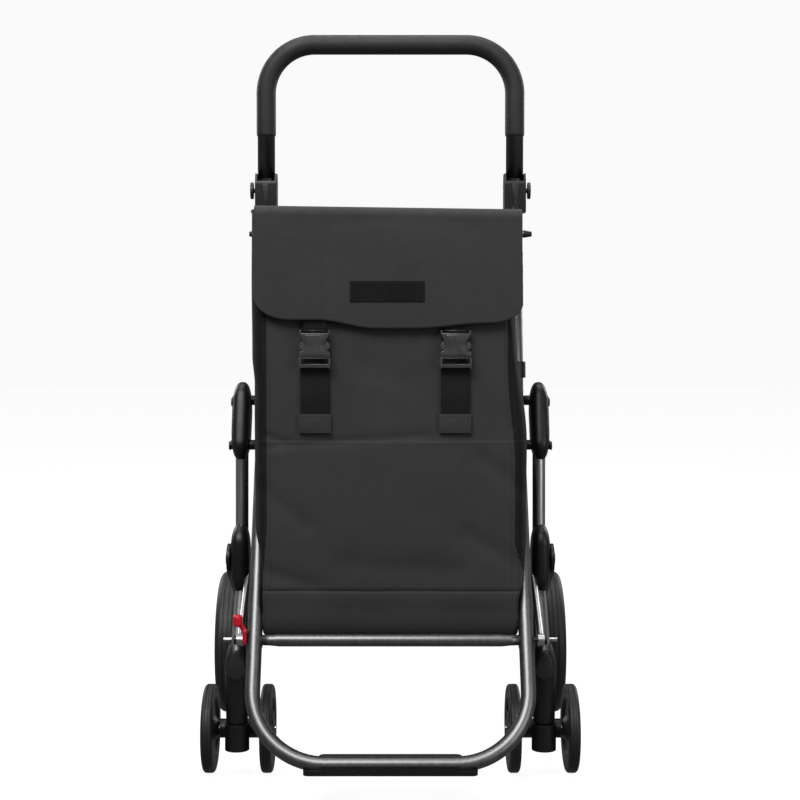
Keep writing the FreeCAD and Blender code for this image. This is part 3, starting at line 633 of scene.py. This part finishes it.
def tyre(body, name, rim_node, tyre_node):
    """A smooth tyre with rounded shoulders and two fine grooves round its tread."""
    low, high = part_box(tyre_node)
    centre = (low + high) / 2
    half = (high.x - low.x) / 2
    radius = (high.z - low.z) / 2
    rim_low, rim_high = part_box(rim_node)
    rim_r = (rim_high.z - rim_low.z) / 2
    shoulder = min(half * 0.62, radius - rim_r)
    profile = [(-half + 0.5 * MM, rim_r), (-half, rim_r + 3 * MM)]
    profile += [(-half + shoulder - shoulder * math.cos(math.radians(a)),
                 radius - shoulder + shoulder * math.sin(math.radians(a))) for a in range(0, 86, 12)]
    groove = half * 0.07
    profile += [(-half * 0.30, radius - 0.2 * MM), (-half * 0.26, radius - groove),
                (-half * 0.20, radius - groove), (-half * 0.16, radius)]
    profile += [(-a, r) for a, r in reversed(profile)]
    ring = lathe(name + "_tyre", profile, centre, 112)
    ring.data.set_sharp_from_angle(angle=math.radians(40))
    finish_piece(ring, body, "tyre", tyre_node)
    return centre, half, rim_r


def wheels():
    for side in ("left", "right"):
        out = 1 if side == "right" else -1
        for place in ("inner", "outer"):
            body = f"caster_wheel_{place}_{side}"
            node = f"caster_rim_{place}_{side}"
            centre, half, rim_r = tyre(body, f"caster_{place}_{side}", node,
                                       f"caster_tyre_{place}_{side}")
            away = out if place == "outer" else -out
            round_node(node, 0.8 * MM)
            rim_ribs(f"caster_ribs_{place}_{side}", body, centre, away * 2.5 * MM, away * (half - 4.2 * MM),
                     16.5 * MM, rim_r - 5.5 * MM, 5)
        node = f"rear_rim_{side}"
        body = f"rear_wheel_{side}"
        centre, half, rim_r = tyre(body, f"rear_{side}", node, f"rear_tyre_{side}")
        round_node(node, 1.2 * MM)
        for name, face in (("outer", out), ("inner", -out)):
            rim_ribs(f"rear_ribs_{name}_{side}", body, centre, face * 3.5 * MM,
                     face * (half - 8 * MM), 21 * MM, rim_r - 9 * MM, 6)


wheels()

# --- bag shell ---

bag_low, bag_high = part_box("bag_body")
flap_low, flap_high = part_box("bag_flap")
BAG_FRONT = bag_low.y
BAG_BACK = bag_high.y
NARROW = 167 * MM
BACK_CORNER = 12 * MM
WAIST_RUN = 14 * MM
FRONT_COLUMNS = 22
BAG_RIM = bag_high.z - 12 * MM
POCKET_TOP = 462 * MM
HEM_SEAM = 264 * MM
SEAM_LOW = 272 * MM
SEAM_HIGH = 628 * MM
FOOT_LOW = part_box("lower_crossbar")[1].z - 7 * MM
FOOT_TOP = FOOT_LOW + 30 * MM


def flap_top(x):
    """Height of the flap's flat top, which slopes down a little to the right."""
    return flap_high.z - 8.0 * MM - 5.0 * MM * (x / flap_high.x + 1) / 2


def rim_lift(x):
    """How far the bag's rim rises at x to meet the underside of the flap."""
    return flap_top(x) - 4.4 * MM - BAG_RIM


def tube_front(z):
    """Y of the main tube's front face at height z."""
    if z < BEND.z:
        centre = LOOP.y + (z - LOOP.z) * (BEND.y - LOOP.y) / (BEND.z - LOOP.z)
    else:
        centre = BEND.y + (z - BEND.z) * (TUBE_TOP.y - BEND.y) / (TUBE_TOP.z - BEND.z)
    return centre - TUBE_R * 1.15


def bag_widths(z, out):
    """At height z on one side (out is +1 or -1): the flat front's half width, the overall half
    width, and how far back the rounded corner runs."""
    room = tube_front(z) - 3 * MM - BAG_FRONT
    free = smooth(room, 6 * MM, 16 * MM)
    if out < 0:
        free = min(free, smooth(z, 296 * MM, 350 * MM))
        wide = 180 * MM + 3.5 * MM * smooth(z, 535 * MM, 575 * MM)
        flat = 163 * MM
    else:
        free = min(free, smooth(z, 250 * MM, 276 * MM))
        wide = 163.5 * MM + 17.5 * MM * smooth(z, 625 * MM, 455 * MM)
        flat = 154 * MM + 10 * MM * smooth(z, 560 * MM, 430 * MM)
    wide -= 5 * MM * smooth(z, 340 * MM, 262 * MM)
    half = (NARROW + 3 * MM) * (1 - free) + wide * free
    flat = min(flat * free + (half - 9 * MM) * (1 - free), half - 7 * MM)
    depth = 9 * MM * (1 - free) + min(36 * MM, max(room, 12 * MM) * 0.75) * free
    return flat, half, depth


def half_ring(z, out):
    """One side of the bag's level loop: front middle, corner, flank, waist and back."""
    flat, half, depth = bag_widths(z, out)
    back_half = NARROW - 2.5 * MM
    front = BAG_FRONT + 1.5 * MM
    back = BAG_BACK - 1 * MM
    corner_end = front + depth
    waist = max(min(tube_front(z) - 3 * MM, back - 40 * MM), corner_end + 2 * MM)
    points = [((flat - 5 * MM) * i / FRONT_COLUMNS, front) for i in range(FRONT_COLUMNS + 1)]
    points += [(flat - gap * MM, front) for gap in (3.0, 1.6, 0.8, 0.0)]
    for i in range(1, 11):
        angle = math.pi / 2 * i / 10
        points.append((flat + (half - flat) * math.sin(angle), corner_end - depth * math.cos(angle)))
    for i in range(1, 9):
        points.append((half, corner_end + (waist - 1 * MM - corner_end) * i / 8))
    for i in range(1, 7):
        points.append((half + (back_half - half) * smooth(i / 6, 0, 1), waist + WAIST_RUN * i / 6))
    start = waist + WAIST_RUN
    for i in range(1, 9):
        points.append((back_half, start + (back - BACK_CORNER - start) * i / 8))
    points += arc_points((back_half - BACK_CORNER, back - BACK_CORNER), BACK_CORNER, 0, 90, 6)[1:]
    for i in range(1, 12):
        points.append(((back_half - BACK_CORNER) * (1 - i / 11), back))
    return [(out * x, y) for x, y in points]


def bag_ring(z):
    """The whole level loop of the bag, from the middle of its front round by the right."""
    right = half_ring(z, 1)
    left = half_ring(z, -1)
    return right + list(reversed(left[1:-1]))


def crease(x, z, x1, z1, x2, z2, width):
    """How near (x, z) is to a line between two points: 1 on it and fading to 0."""
    along = Vector((x2 - x1, z2 - z1))
    t = max(0.0, min(1.0, Vector((x - x1, z - z1)).dot(along) / along.length_squared))
    gap = (Vector((x, z)) - Vector((x1, z1)) - along * t).length
    return math.exp(-(gap / width) ** 2)


CREASES = [
    # x1, z1, x2, z2, width, depth: soft folds in the front panel, metres
    (-0.165, 0.455, 0.05, 0.470, 0.006, 0.0016),
    (0.156, 0.606, 0.162, 0.480, 0.0035, 0.0032),
    (0.120, 0.440, 0.170, 0.400, 0.010, 0.0026),
    (-0.163, 0.470, -0.140, 0.461, 0.005, 0.0024),
    (-0.170, 0.400, -0.110, 0.350, 0.012, 0.0022),
    (-0.060, 0.300, 0.090, 0.290, 0.014, 0.0016),
    (0.100, 0.340, 0.168, 0.300, 0.012, 0.0022),
    (-0.165, 0.290, -0.100, 0.270, 0.010, 0.0022),
    (-0.030, 0.560, 0.030, 0.540, 0.020, 0.0014),
    (-0.060, 0.520, -0.072, 0.420, 0.016, 0.0014),
]


def bag_relief(x, z):
    """Depth of the front panel's surface: slow waves, folds, the pocket's edge and a seam."""
    depth = 1.8 * MM * noise.noise(Vector((x * 9, 0.3, z * 7)))
    depth += 0.8 * MM * noise.noise(Vector((x * 28, 5.1, z * 20)))
    for x1, z1, x2, z2, width, fold in CREASES:
        depth -= fold * crease(x, z, x1, z1, x2, z2, width)
    depth += 1.1 * MM * smooth(z, POCKET_TOP + 0.8 * MM, POCKET_TOP - 0.8 * MM)
    depth -= 1.5 * MM * math.exp(-((z - HEM_SEAM) / (1.5 * MM)) ** 2)
    belly = math.sin(math.pi * min(max((z - 0.215) / 0.25, 0), 1)) * math.cos(x / 0.19 * math.pi / 2)
    return depth + 2.5 * MM * belly


def bag_levels():
    low = FOOT_TOP
    count = 140
    levels = {round(low + (BAG_RIM - low) * i / count, 5) for i in range(count + 1)}
    for seam in (POCKET_TOP, HEM_SEAM):
        levels |= {round(seam + gap * MM, 5) for gap in (-2.4, -1.2, -0.5, 0.5, 1.2, 2.4)}
    return sorted(levels)


def bag_foot():
    """Rings that close the bag's underside. Its lower edge turns under in a broad curve that
    rests against the crossbar; behind the bar the cloth hangs a little lower."""
    middle_y = (BAG_FRONT + BAG_BACK) / 2
    curve = [(math.cos(math.radians(a)), math.sin(math.radians(a)), 0) for a in range(90, 0, -9)]
    rings = []
    for out_share, down_share, extra in [(0, 1, 70 * MM), (0, 1, 30 * MM)] + curve:
        inset_x = 5 * MM * (1 - out_share) ** 3 + extra
        inset_y = 15 * MM * (1 - out_share) + extra
        rings.append([Vector((math.copysign(max(abs(x) - inset_x, 0), x),
                              middle_y + math.copysign(max(abs(y - middle_y) - inset_y, 0), y - middle_y),
                              FOOT_TOP - (FOOT_TOP - FOOT_LOW) * down_share))
                      for x, y in bag_ring(FOOT_TOP)])
    return rings


def bag_point(x, y, z):
    """A point of the bag's loop pushed by its relief in front and by slow waves elsewhere."""
    frontness = smooth(y, BAG_FRONT + 20 * MM, BAG_FRONT + 2 * MM)
    backness = smooth(y, BAG_BACK - 14 * MM, BAG_BACK - 2 * MM)
    fade = smooth(z, FOOT_TOP, FOOT_TOP + 24 * MM)
    free = smooth(tube_front(z) - BAG_FRONT, 20 * MM, 50 * MM)
    back_wave = 2.2 * MM * noise.noise(Vector((x * 10, 9.0, z * 8))) - 1 * MM
    side_wave = 1.6 * MM * noise.noise(Vector((y * 14, 3.0, z * 9))) - 1.0 * MM
    side_wave *= (1 - frontness) * (1 - backness) * free
    flat = bag_widths(z, 1 if x > 0 else -1)[0]
    seam = 1.2 * MM * math.exp(-((abs(x) - flat) / (1.1 * MM)) ** 2) * frontness
    return Vector((x + math.copysign(side_wave, x) * fade,
                   y - (bag_relief(x, z) - seam) * frontness * fade + back_wave * fade * backness,
                   z + rim_lift(x) * smooth(z, 700 * MM, BAG_RIM)))


def take_faces(piece, name, wanted):
    """Move the faces whose centres are wanted into a new object of their own."""
    other = add_object(name, piece.data.copy())
    for target, keep in ((piece, False), (other, True)):
        shape = bmesh.new()
        shape.from_mesh(target.data)
        unwanted = [f for f in shape.faces if wanted(f.calc_center_median()) != keep]
        bmesh.ops.delete(shape, geom=unwanted, context="FACES")
        shape.to_mesh(target.data)
        shape.free()
    return other


def on_painted_shade_panel(spot):
    """Whether a point of the bag lies on one of its side panels, which take a darker cloth as painted shade
    where the sides turn away from the light.
    """
    flat, half, depth = bag_widths(spot.z, 1 if spot.x > 0 else -1)
    edge = flat + 0.2 * MM + (half - flat) * 0.8 * smooth(spot.z, 330 * MM, 285 * MM)
    in_front = spot.y < BAG_FRONT + depth + 2 * MM
    return (abs(spot.x) > edge or not in_front) and spot.z > FOOT_TOP and spot.y < BAG_BACK - 13 * MM


def bag_shell():
    """The bag as one lofted shell of cloth that sags a little between its seams."""
    rings = bag_foot() + [[bag_point(x, y, z) for x, y in bag_ring(z)] for z in bag_levels()]
    across = len(rings[0])
    verts = [point for ring in rings for point in ring]
    faces = grid_faces(len(rings), across, closed_across=True)
    faces.append(tuple(range(across)))
    shell = outward(link_mesh("bag_shell", verts, faces))
    held = []
    for point in verts:
        middle = smooth(abs(point.x), 160 * MM, 120 * MM)
        low_free = smooth(point.z, FOOT_TOP, FOOT_TOP + 40 * MM)
        high_free = smooth(point.z, 640 * MM, 590 * MM)
        in_front = smooth(point.y, BAG_FRONT + 14 * MM, BAG_FRONT + 8 * MM)
        held.append(1 - 0.88 * middle * low_free * high_free * in_front)
    settle(shell, held, slack=0.02, cap=6 * MM)
    modify(shell, "SOLIDIFY", thickness=WEB_THICK, offset=-1.0)
    bake(shell)
    shell.data.shade_smooth()
    tree = surface_tree(shell)
    # the side panels take the darker cloth: painted shade where the bag's sides turn away from the light
    finish_piece(take_faces(shell, "bag_gussets_painted_shade", on_painted_shade_panel), "frame", "gusset_cloth")
    finish_piece(shell, "frame", "bag_fabric", "bag_body")
    rim = [Vector((x, y, BAG_RIM + rim_lift(x))) for x, y in bag_ring(BAG_RIM)]
    finish_piece(sweep("bag_rim_hem", rim + rim[:2], 2.0 * MM, 12), "frame", "bag_fabric")
    for out, side in ((-1, "left"), (1, "right")):
        seam = [(bag_widths(z, out)[0] - 4.5 * MM, z) for z in bag_levels() if SEAM_LOW < z < SEAM_HIGH]
        stitches(f"bag_seam_{side}", on_front(tree, [(out * x, z) for x, z in seam], 0.1 * MM), "frame")
    for name, height in (("pocket", POCKET_TOP - 4 * MM), ("hem", HEM_SEAM + 4.5 * MM)):
        reach = min(bag_widths(height, 1)[0], bag_widths(height, -1)[0]) - 6 * MM
        row = on_front(tree, [(reach * (i / 40 - 1), height) for i in range(81)], 0.1 * MM)
        stitches(f"bag_{name}_stitching", row, "frame")


def base_board():
    """The stiff board in the bag's floor, kept inside the rounded lower edge."""
    low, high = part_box("bag_base_board")
    inset = 10 * MM
    outline = rectangle(low.y + inset, high.y - inset, low.z, high.z)
    board = slab("base_board_panel", outline, "X", low.x + inset, high.x - inset, 0.6 * MM)
    finish_piece(board, "frame", "base_board", "bag_base_board")


bag_shell()
base_board()


# --- flap ---


FLAP_LEFT = flap_low.x + 0.5 * MM
FLAP_RIGHT = flap_high.x - 6.5 * MM
FLAP_FRONT = flap_low.y + 2.4 * MM
FLAP_TURN = 11 * MM


def flap_edge(x):
    """Height of the flap's lower edge: lowest near the middle, with broad rounded corners."""
    edge = 612.5 * MM + 11 * MM * smooth(-x, 20 * MM, 95 * MM) + 7 * MM * smooth(x, 30 * MM, 130 * MM)
    for gap, across, rise in ((x - FLAP_LEFT, 46 * MM, 30 * MM), (FLAP_RIGHT - x, 42 * MM, 24 * MM)):
        if gap < across:
            edge += rise * (1 - math.sqrt(max(1 - ((across - gap) / across) ** 2, 0)))
    return edge


def flap_route(x):
    """(y, z) points of the flap's centre surface at one x, from its hinge to its lower edge."""
    share = x / flap_high.x
    top = flap_top(x)
    edge = flap_edge(x)
    hinge_y = flap_high.y - 1 * MM
    bow = math.cos(share * math.pi / 2)
    route = []
    for i in range(30):
        t = i / 30
        y = hinge_y + (FLAP_FRONT + FLAP_TURN - hinge_y) * t
        sag = 2.2 * MM * math.sin(math.pi * t) * bow
        sag += 0.7 * MM * noise.noise(Vector((x * 14, y * 14, 2.0)))
        route.append((y, top - sag))
    for i in range(9):
        angle = math.radians(90 + 90 * i / 8)
        route.append((FLAP_FRONT + FLAP_TURN * (1 + math.cos(angle)),
                      top - FLAP_TURN * (1 - math.sin(angle))))
    for i in range(1, 53):
        t = i / 52
        wave = 1.4 * MM * noise.noise(Vector((x * 11, 1.7, (top - edge) * t * 9)))
        wave += 0.7 * MM * math.sin(share * 9 + 1.0) * t * t
        bulge = 2.0 * MM * math.sin(math.pi * min(t * 1.1, 1.0)) * bow
        route.append((FLAP_FRONT - (bulge + wave) * smooth(t, 0, 0.15),
                      top - FLAP_TURN + (edge - top + FLAP_TURN) * t))
    return route


def flap():
    """One sheet of doubled cloth, hinged at the back of the bag's rim and hanging in front."""
    columns = 121
    centre = (FLAP_LEFT + FLAP_RIGHT) / 2
    half = (FLAP_RIGHT - FLAP_LEFT) / 2
    across = [centre + half * math.sin(math.pi / 2 * (2 * i / (columns - 1) - 1)) for i in range(columns)]
    strips = [[Vector((x, y, z)) for y, z in flap_route(x)] for x in across]
    rows = len(strips[0])
    verts = [strips[c][r] for r in range(rows) for c in range(columns)]
    sheet = link_mesh("flap_cloth", verts, grid_faces(rows, columns))
    held = []
    for point in verts:
        hanging = smooth(point.z, flap_high.z - 30 * MM, flap_high.z - 70 * MM)
        held.append(1 - 0.9 * hanging * smooth(point.y, FLAP_FRONT + 12 * MM, FLAP_FRONT + 6 * MM))
    settle(sheet, held, slack=0.012, cap=4 * MM)
    modify(sheet, "SOLIDIFY", thickness=2.4 * MM, offset=0.0)
    bake(sheet)
    outward(sheet)
    sheet.data.shade_smooth()
    finish_piece(sheet, "bag_flap", "bag_fabric", "bag_flap")
    tree = surface_tree(sheet)
    edge = [Vector((x, flap_edge(x))) for x in across]
    hem = []
    for before, point, after in zip(edge, edge[1:], edge[2:]):
        along = (after - before).normalized()
        hem.append((point.x - along.y * 6 * MM, point.y + along.x * 6 * MM))
    stitches("flap_stitching", on_front(tree, hem, 0.0), "bag_flap", radius=0.22 * MM)
    return tree


flap_tree = flap()

# --- side hubs, boots and legs ---

HUBS = {
    # node stem: its upper and its lower disc, each as y, z and radius in mm
    "upper_hub": ((-47, 507, 26), (-74, 446, 22)),
    "lower_hub": ((-83, 309, 27), (-87, 263, 24)),
}


def domed(name, outline, low_x, high_x, steps=12):
    """A closed almond: an outline in the YZ plane, domed towards both ends of X."""
    centre = Vector((sum(a for a, b in outline), sum(b for a, b in outline))) / len(outline)
    mid_x = (low_x + high_x) / 2
    half = (high_x - low_x) / 2
    verts = []
    for step in range(1, 2 * steps):
        angle = math.pi * step / (2 * steps) - math.pi / 2
        scale = math.cos(angle) ** 0.55
        rise = math.copysign(abs(math.sin(angle)) ** 0.8, angle)
        for a, b in outline:
            verts.append(Vector((mid_x + half * rise, centre.x + (a - centre.x) * scale,
                                 centre.y + (b - centre.y) * scale)))
    return outward(link_mesh(name, verts, tube_faces(2 * steps - 1, len(outline))))


def knob_disc(name, centre, radius, reach, body, slot, dish=0.0):
    """A round cap with a rounded rim, standing out along X by reach (signed)."""
    out = 1 if reach > 0 else -1
    size = abs(reach)
    edge = min(size, radius) * 0.35
    profile = [(0, 0.0001), (0, radius), (size - edge, radius), (size - edge * 0.3, radius - edge * 0.3),
               (size, radius - edge), (size - dish, radius * 0.55), (size - dish, 0.0001)]
    cap = lathe(name, [(out * a, r) for a, r in profile], centre, 40, closed=False)
    cap.data.set_sharp_from_angle(angle=math.radians(50))
    return finish_piece(cap, body, slot)


def hubs():
    for stem, discs in HUBS.items():
        (top_y, top_z, top_r), (foot_y, foot_z, foot_r) = [[value * MM for value in disc] for disc in discs]
        outline = capsule((top_y, top_z), top_r, (foot_y, foot_z), foot_r)
        for side, out in (("left", -1), ("right", 1)):
            low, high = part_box(f"{stem}_{side}")
            hub = domed(f"{stem}_cover_{side}", outline, low.x, high.x)
            finish_piece(hub, "frame", "black_plastic", f"{stem}_{side}")
            if stem == "lower_hub":
                continue
            inner_x, outer_x = (low.x, high.x) if out > 0 else (high.x, low.x)
            to_tube = abs(inner_x) + 4 * MM - TUBE_X - TUBE_R
            for name, y, z in (("top", top_y, top_z), ("low", foot_y, foot_z)):
                knob_disc(f"{stem}_cap_{name}_{side}", Vector((outer_x - out * 2.2 * MM, y, z)), 6.5 * MM,
                          out * 3.2 * MM, "frame", "grey_plastic", dish=1 * MM)
                knob_disc(f"{stem}_spacer_{name}_{side}", Vector((inner_x + out * 3 * MM, y, z)), 7 * MM,
                          -out * to_tube, "frame", "black_plastic")


def boots():
    """A moulded boot: a sleeve that swells at the knee and closes round the leg above it."""
    for side in ("left", "right"):
        low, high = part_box(f"front_boot_{side}")
        x = (low.x + high.x) / 2
        swivel_y = low.y + (high.x - low.x) / 2
        stations = [
            # height, radius, shift back, in mm
            (75.4, 13.2, 0), (76.2, 14.3, 0), (79, 14.9, 0), (100, 14.9, 0), (120, 15.2, 0), (136, 16.0, 0),
            (148, 16.6, 0.4), (158, 16.2, 2.2), (166, 15.0, 5.5), (173, 13.4, 10.0), (179, 12.0, 15.2),
            (183, 10.8, 19.0), (184.5, 9.4, 20.5),
        ]
        verts = []
        sides = 40
        for height, radius, back in stations:
            lean = smooth(height, 150, 180)
            for k in range(sides):
                angle = 2 * math.pi * k / sides
                dx = radius * math.cos(angle)
                dy = radius * math.sin(angle)
                verts.append(Vector((x + dx * MM, swivel_y + (back + dy) * MM,
                                     (height - dy * 0.55 * lean) * MM)))
        boot = outward(link_mesh(f"boot_{side}", verts, tube_faces(len(stations), sides)))
        modify(boot, "SUBSURF", levels=1)
        bake(boot)
        finish_piece(boot, "frame", "black_plastic", f"front_boot_{side}")
        hood = [(8.8, 12), (3.4, 24), (0, 28), (-3.4, 24), (-8.8, 12)]
        face = [(x + a * MM, (b + 150) * MM) for a, b in arc_points((0, 0), 12.4, 180, 360, 18) + hood]
        front = swivel_y - 16.6 * MM
        plate = slab(f"boot_face_{side}", face, "Y", front - 0.8 * MM, front + 4 * MM, 1.4 * MM)
        finish_piece(plate, "frame", "grey_plastic")


hubs()
boots()

# --- straps, tabs, buckles and label ---


def ribbon(name, x_low, x_high, route, body, node):
    """A flat woven strap that follows (y, z) points, with soft edges."""
    columns = 9
    verts = []
    for y, z in route:
        for j in range(columns):
            share = j / (columns - 1)
            verts.append(Vector((x_low + (x_high - x_low) * share, y, z)))
    strap = link_mesh(name, verts, grid_faces(len(route), columns))
    modify(strap, "SOLIDIFY", thickness=WEB_THICK, offset=0)
    bake(strap)
    outward(strap)
    soften(strap, WEB_THICK * 0.3, 2)
    finish_side(strap, body, "webbing", node)


def stitched_box(name, x_low, x_high, z_low, z_high, y, body):
    """A sewn rectangle with a cross inside, as on a strap's end."""
    spots = rectangle(x_low, x_high, z_low, z_high)
    route = [Vector((a, y, b)) for a, b in spots + [spots[0], spots[2]]]
    stitches(name, route, body, 3.0 * MM, 2.0 * MM, 0.32 * MM)


def side_boxes(node):
    """The boxes of a mirrored node's left and right solids."""
    points = [vert.co for vert in NODES[node].data.vertices]
    boxes = []
    for out in (-1, 1):
        side = [point for point in points if point.x * out > 0]
        boxes.append([Vector([pick(point[k] for point in side) for k in range(3)]) for pick in (min, max)])
    return boxes


def female_half(name, low, high):
    """The buckle's socket: an X shape with a round bite in each side, where the prongs show."""
    x = (low.x + high.x) / 2
    half = (high.x - low.x) / 2 - 0.4 * MM
    top = high.z - 4.6 * MM
    bite = (half - 0.6 * MM, high.z - 21 * MM)
    right = [(half - 2.2 * MM, top), (half - 1.4 * MM, top - 2.2 * MM)]
    right += arc_points(bite, 7.6 * MM, 130, 246, 12)
    right += [(half - 1.0 * MM, low.z + 7.4 * MM), (half, low.z + 6.2 * MM), (half, low.z + 1 * MM),
              (half - 1 * MM, low.z)]
    shell = slab(name, mirrored(x, right), "Y", low.y, high.y, 1.3 * MM)
    finish_piece(shell, "bag_flap", "buckle_plastic")
    inner = [(half - 7 * MM, top - 2.2 * MM)]
    inner += arc_points(bite, 10.4 * MM, 148, 228, 8)
    inner += [(half - 4.5 * MM, low.z + 4.5 * MM), (half - 4.5 * MM, low.z + 2.4 * MM)]
    raised = slab(name + "_face", mirrored(x, inner), "Y", low.y - 0.8 * MM, low.y + 2 * MM, 0.75 * MM)
    finish_piece(raised, "bag_flap", "buckle_plastic")
    bar = [Vector((x - half + 1 * MM, low.y + 4 * MM, high.z - 2 * MM)),
           Vector((x + half - 1 * MM, low.y + 4 * MM, high.z - 2 * MM))]
    finish_piece(sweep(name + "_bar", bar, 1.7 * MM, 14), "bag_flap", "black_plastic")
    for out, side in ((-1, "a"), (1, "b")):
        post = rectangle(x + out * (half - 2.6 * MM), x + out * (half - 0.4 * MM),
                         top - 3 * MM, high.z - 1 * MM)
        rail = slab(f"{name}_post_{side}", post, "Y", low.y + 1.5 * MM, high.y - 1 * MM, 0.6 * MM)
        finish_piece(rail, "bag_flap", "buckle_plastic")
    return shell


def male_half(name, node):
    """The buckle's plug, on a body of its node's name: a ladder frame round the strap's window,
    and two prong pads."""
    low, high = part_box(node)
    x = (low.x + high.x) / 2
    half = (high.x - low.x) / 2
    seam = low.z + 15.2 * MM
    outline = [(x - half, low.z), (x - half + 1.2 * MM, low.z), (x - half + 2.2 * MM, low.z + 2.2 * MM),
               (x + half - 2.2 * MM, low.z + 2.2 * MM), (x + half - 1.2 * MM, low.z), (x + half, low.z),
               (x + half, seam), (x - half, seam)]
    window_half = half - 2.4 * MM
    window = rectangle(x - window_half, x + window_half, low.z + 7 * MM, seam - 1.2 * MM)
    ladder = slab(name, outline, "Y", low.y, high.y - 0.6 * MM, 0.55 * MM, holes=[window])
    finish_piece(ladder, node, "buckle_plastic", node)
    for side, out in (("a", -1), ("b", 1)):
        tip = arc_points((half - 6.4 * MM, seam + 15.4 * MM), 6.0 * MM, -90, 90)
        pad = [(x + out * a, z) for a, z in tip]
        pad += [(x + out * (half - 9 * MM), seam + 21.4 * MM), (x + out * (half - 9 * MM), seam - 1 * MM),
                (x + out * (half - 4 * MM), seam - 1 * MM), (x + out * (half - 4 * MM), seam + 8 * MM)]
        prong = slab(f"{name}_prong_{side}", pad, "Y", low.y + 2.4 * MM, high.y - 2.4 * MM, 0.9 * MM)
        finish_piece(prong, node, "buckle_pad")


def straps_and_buckles():
    sides = ("left", "right")
    for side, (low, high) in zip(sides, side_boxes("buckle_females")):
        shell = female_half(f"buckle_socket_{side}", low, high)
        if side == "left":
            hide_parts("buckle_females")
        male_half(f"buckle_plug_{side}", f"buckle_male_{side}")
    for side, (low, high) in zip(sides, side_boxes("lower_straps")):
        mid = (low.y + high.y) / 2
        route = []
        for i in range(31):
            t = i / 30
            z = low.z - 3 * MM + (high.z - low.z + 5 * MM) * t
            lift = 2.2 * MM * math.sin(math.pi * min(t * 1.15, 1)) ** 2 + 4.0 * MM * smooth(t, 0.78, 1.0)
            route.append((mid - lift - 0.4 * MM * math.sin(9 * t), z))
        ribbon(f"lower_strap_{side}", low.x, high.x, route, "frame", "lower_straps")
    for side, (low, high) in zip(sides, side_boxes("upper_straps")):
        route = [(low.y + 0.9 * MM - 1.2 * MM * math.sin(math.pi * i / 14),
                  low.z + 3 * MM + (high.z - low.z - 3 * MM) * i / 14) for i in range(15)]
        ribbon(f"upper_strap_{side}", low.x, high.x, route, "bag_flap", "upper_straps")
    for side, (low, high) in zip(sides, side_boxes("strap_tabs")):
        outline = rectangle(low.x, high.x, low.z, high.z)
        tab = slab(f"strap_tab_{side}", outline, "Y", low.y - 0.9 * MM, low.y + 4.5 * MM, 0.8 * MM)
        finish_side(tab, "frame", "bag_fabric", "strap_tabs")
        stitched_box(f"tab_stitching_{side}", low.x + 3 * MM, high.x - 3 * MM, low.z + 3 * MM,
                     high.z - 3 * MM, low.y - 0.95 * MM, "frame")


def label(tree):
    """A blank woven patch that follows the flap's surface, sewn on all round."""
    low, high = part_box("label_patch")
    columns, rows = 41, 13
    verts = []
    for j in range(rows):
        for i in range(columns):
            verts.append(front_point(tree, low.x + (high.x - low.x) * i / (columns - 1),
                                     low.z + (high.z - low.z) * j / (rows - 1), 0.7 * MM))
    patch = link_mesh("blank_label", verts, grid_faces(rows, columns))
    modify(patch, "SOLIDIFY", thickness=1.2 * MM, offset=0.0)
    bake(patch)
    outward(patch)
    soften(patch, 0.35 * MM, 2)
    finish_piece(patch, "bag_flap", "label_cloth", "label_patch")
    inset = 1.8 * MM
    corners = rectangle(low.x + inset, high.x - inset, low.z + inset, high.z - inset)
    row = [front_point(tree, x, z, 1.35 * MM) for x, z in corners + corners[:1]]
    stitches("label_stitching", row, "bag_flap", 2.6 * MM, 1.8 * MM, 0.25 * MM)


straps_and_buckles()
label(flap_tree)

# --- CAD pieces that keep their shape ---


def hinge_ribs():
    """A tapering rib on the front of each hinge housing, between its two flanks."""
    for side in ("left", "right"):
        low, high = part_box(f"hinge_housing_{side}")
        x = (low.x + high.x) / 2
        outline = mirrored(x, [(5.5 * MM, low.z + 41 * MM), (1.6 * MM, low.z + 1 * MM)])
        rib = slab(f"hinge_rib_{side}", outline, "Y", low.y - 1.6 * MM, low.y + 2 * MM, 1.2 * MM)
        finish_piece(rib, "frame", "grey_plastic")


for cad_node, edge_width in (
    ("foot_pad", 1.4), ("tube_clips", 1.5), ("latch_lever", 0.8), ("brace_links", 0.6), ("frame_bolts", 0.5),
    ("hinge_housing_left", 1.8), ("hinge_housing_right", 1.8), ("handle_button_left", 0.35),
    ("handle_button_right", 0.35), ("caster_body_left", 1.2), ("caster_body_right", 1.2),
    ("rear_leg_lugs", 0.9), ("rear_cap_left", 0.6), ("rear_cap_right", 0.6), ("bar_knobs", 0.7),
    ("handle_knuckles", 0.6), ("rear_leg_left", 0.5), ("rear_leg_right", 0.5),
):
    round_node(cad_node, edge_width * MM)
hinge_ribs()
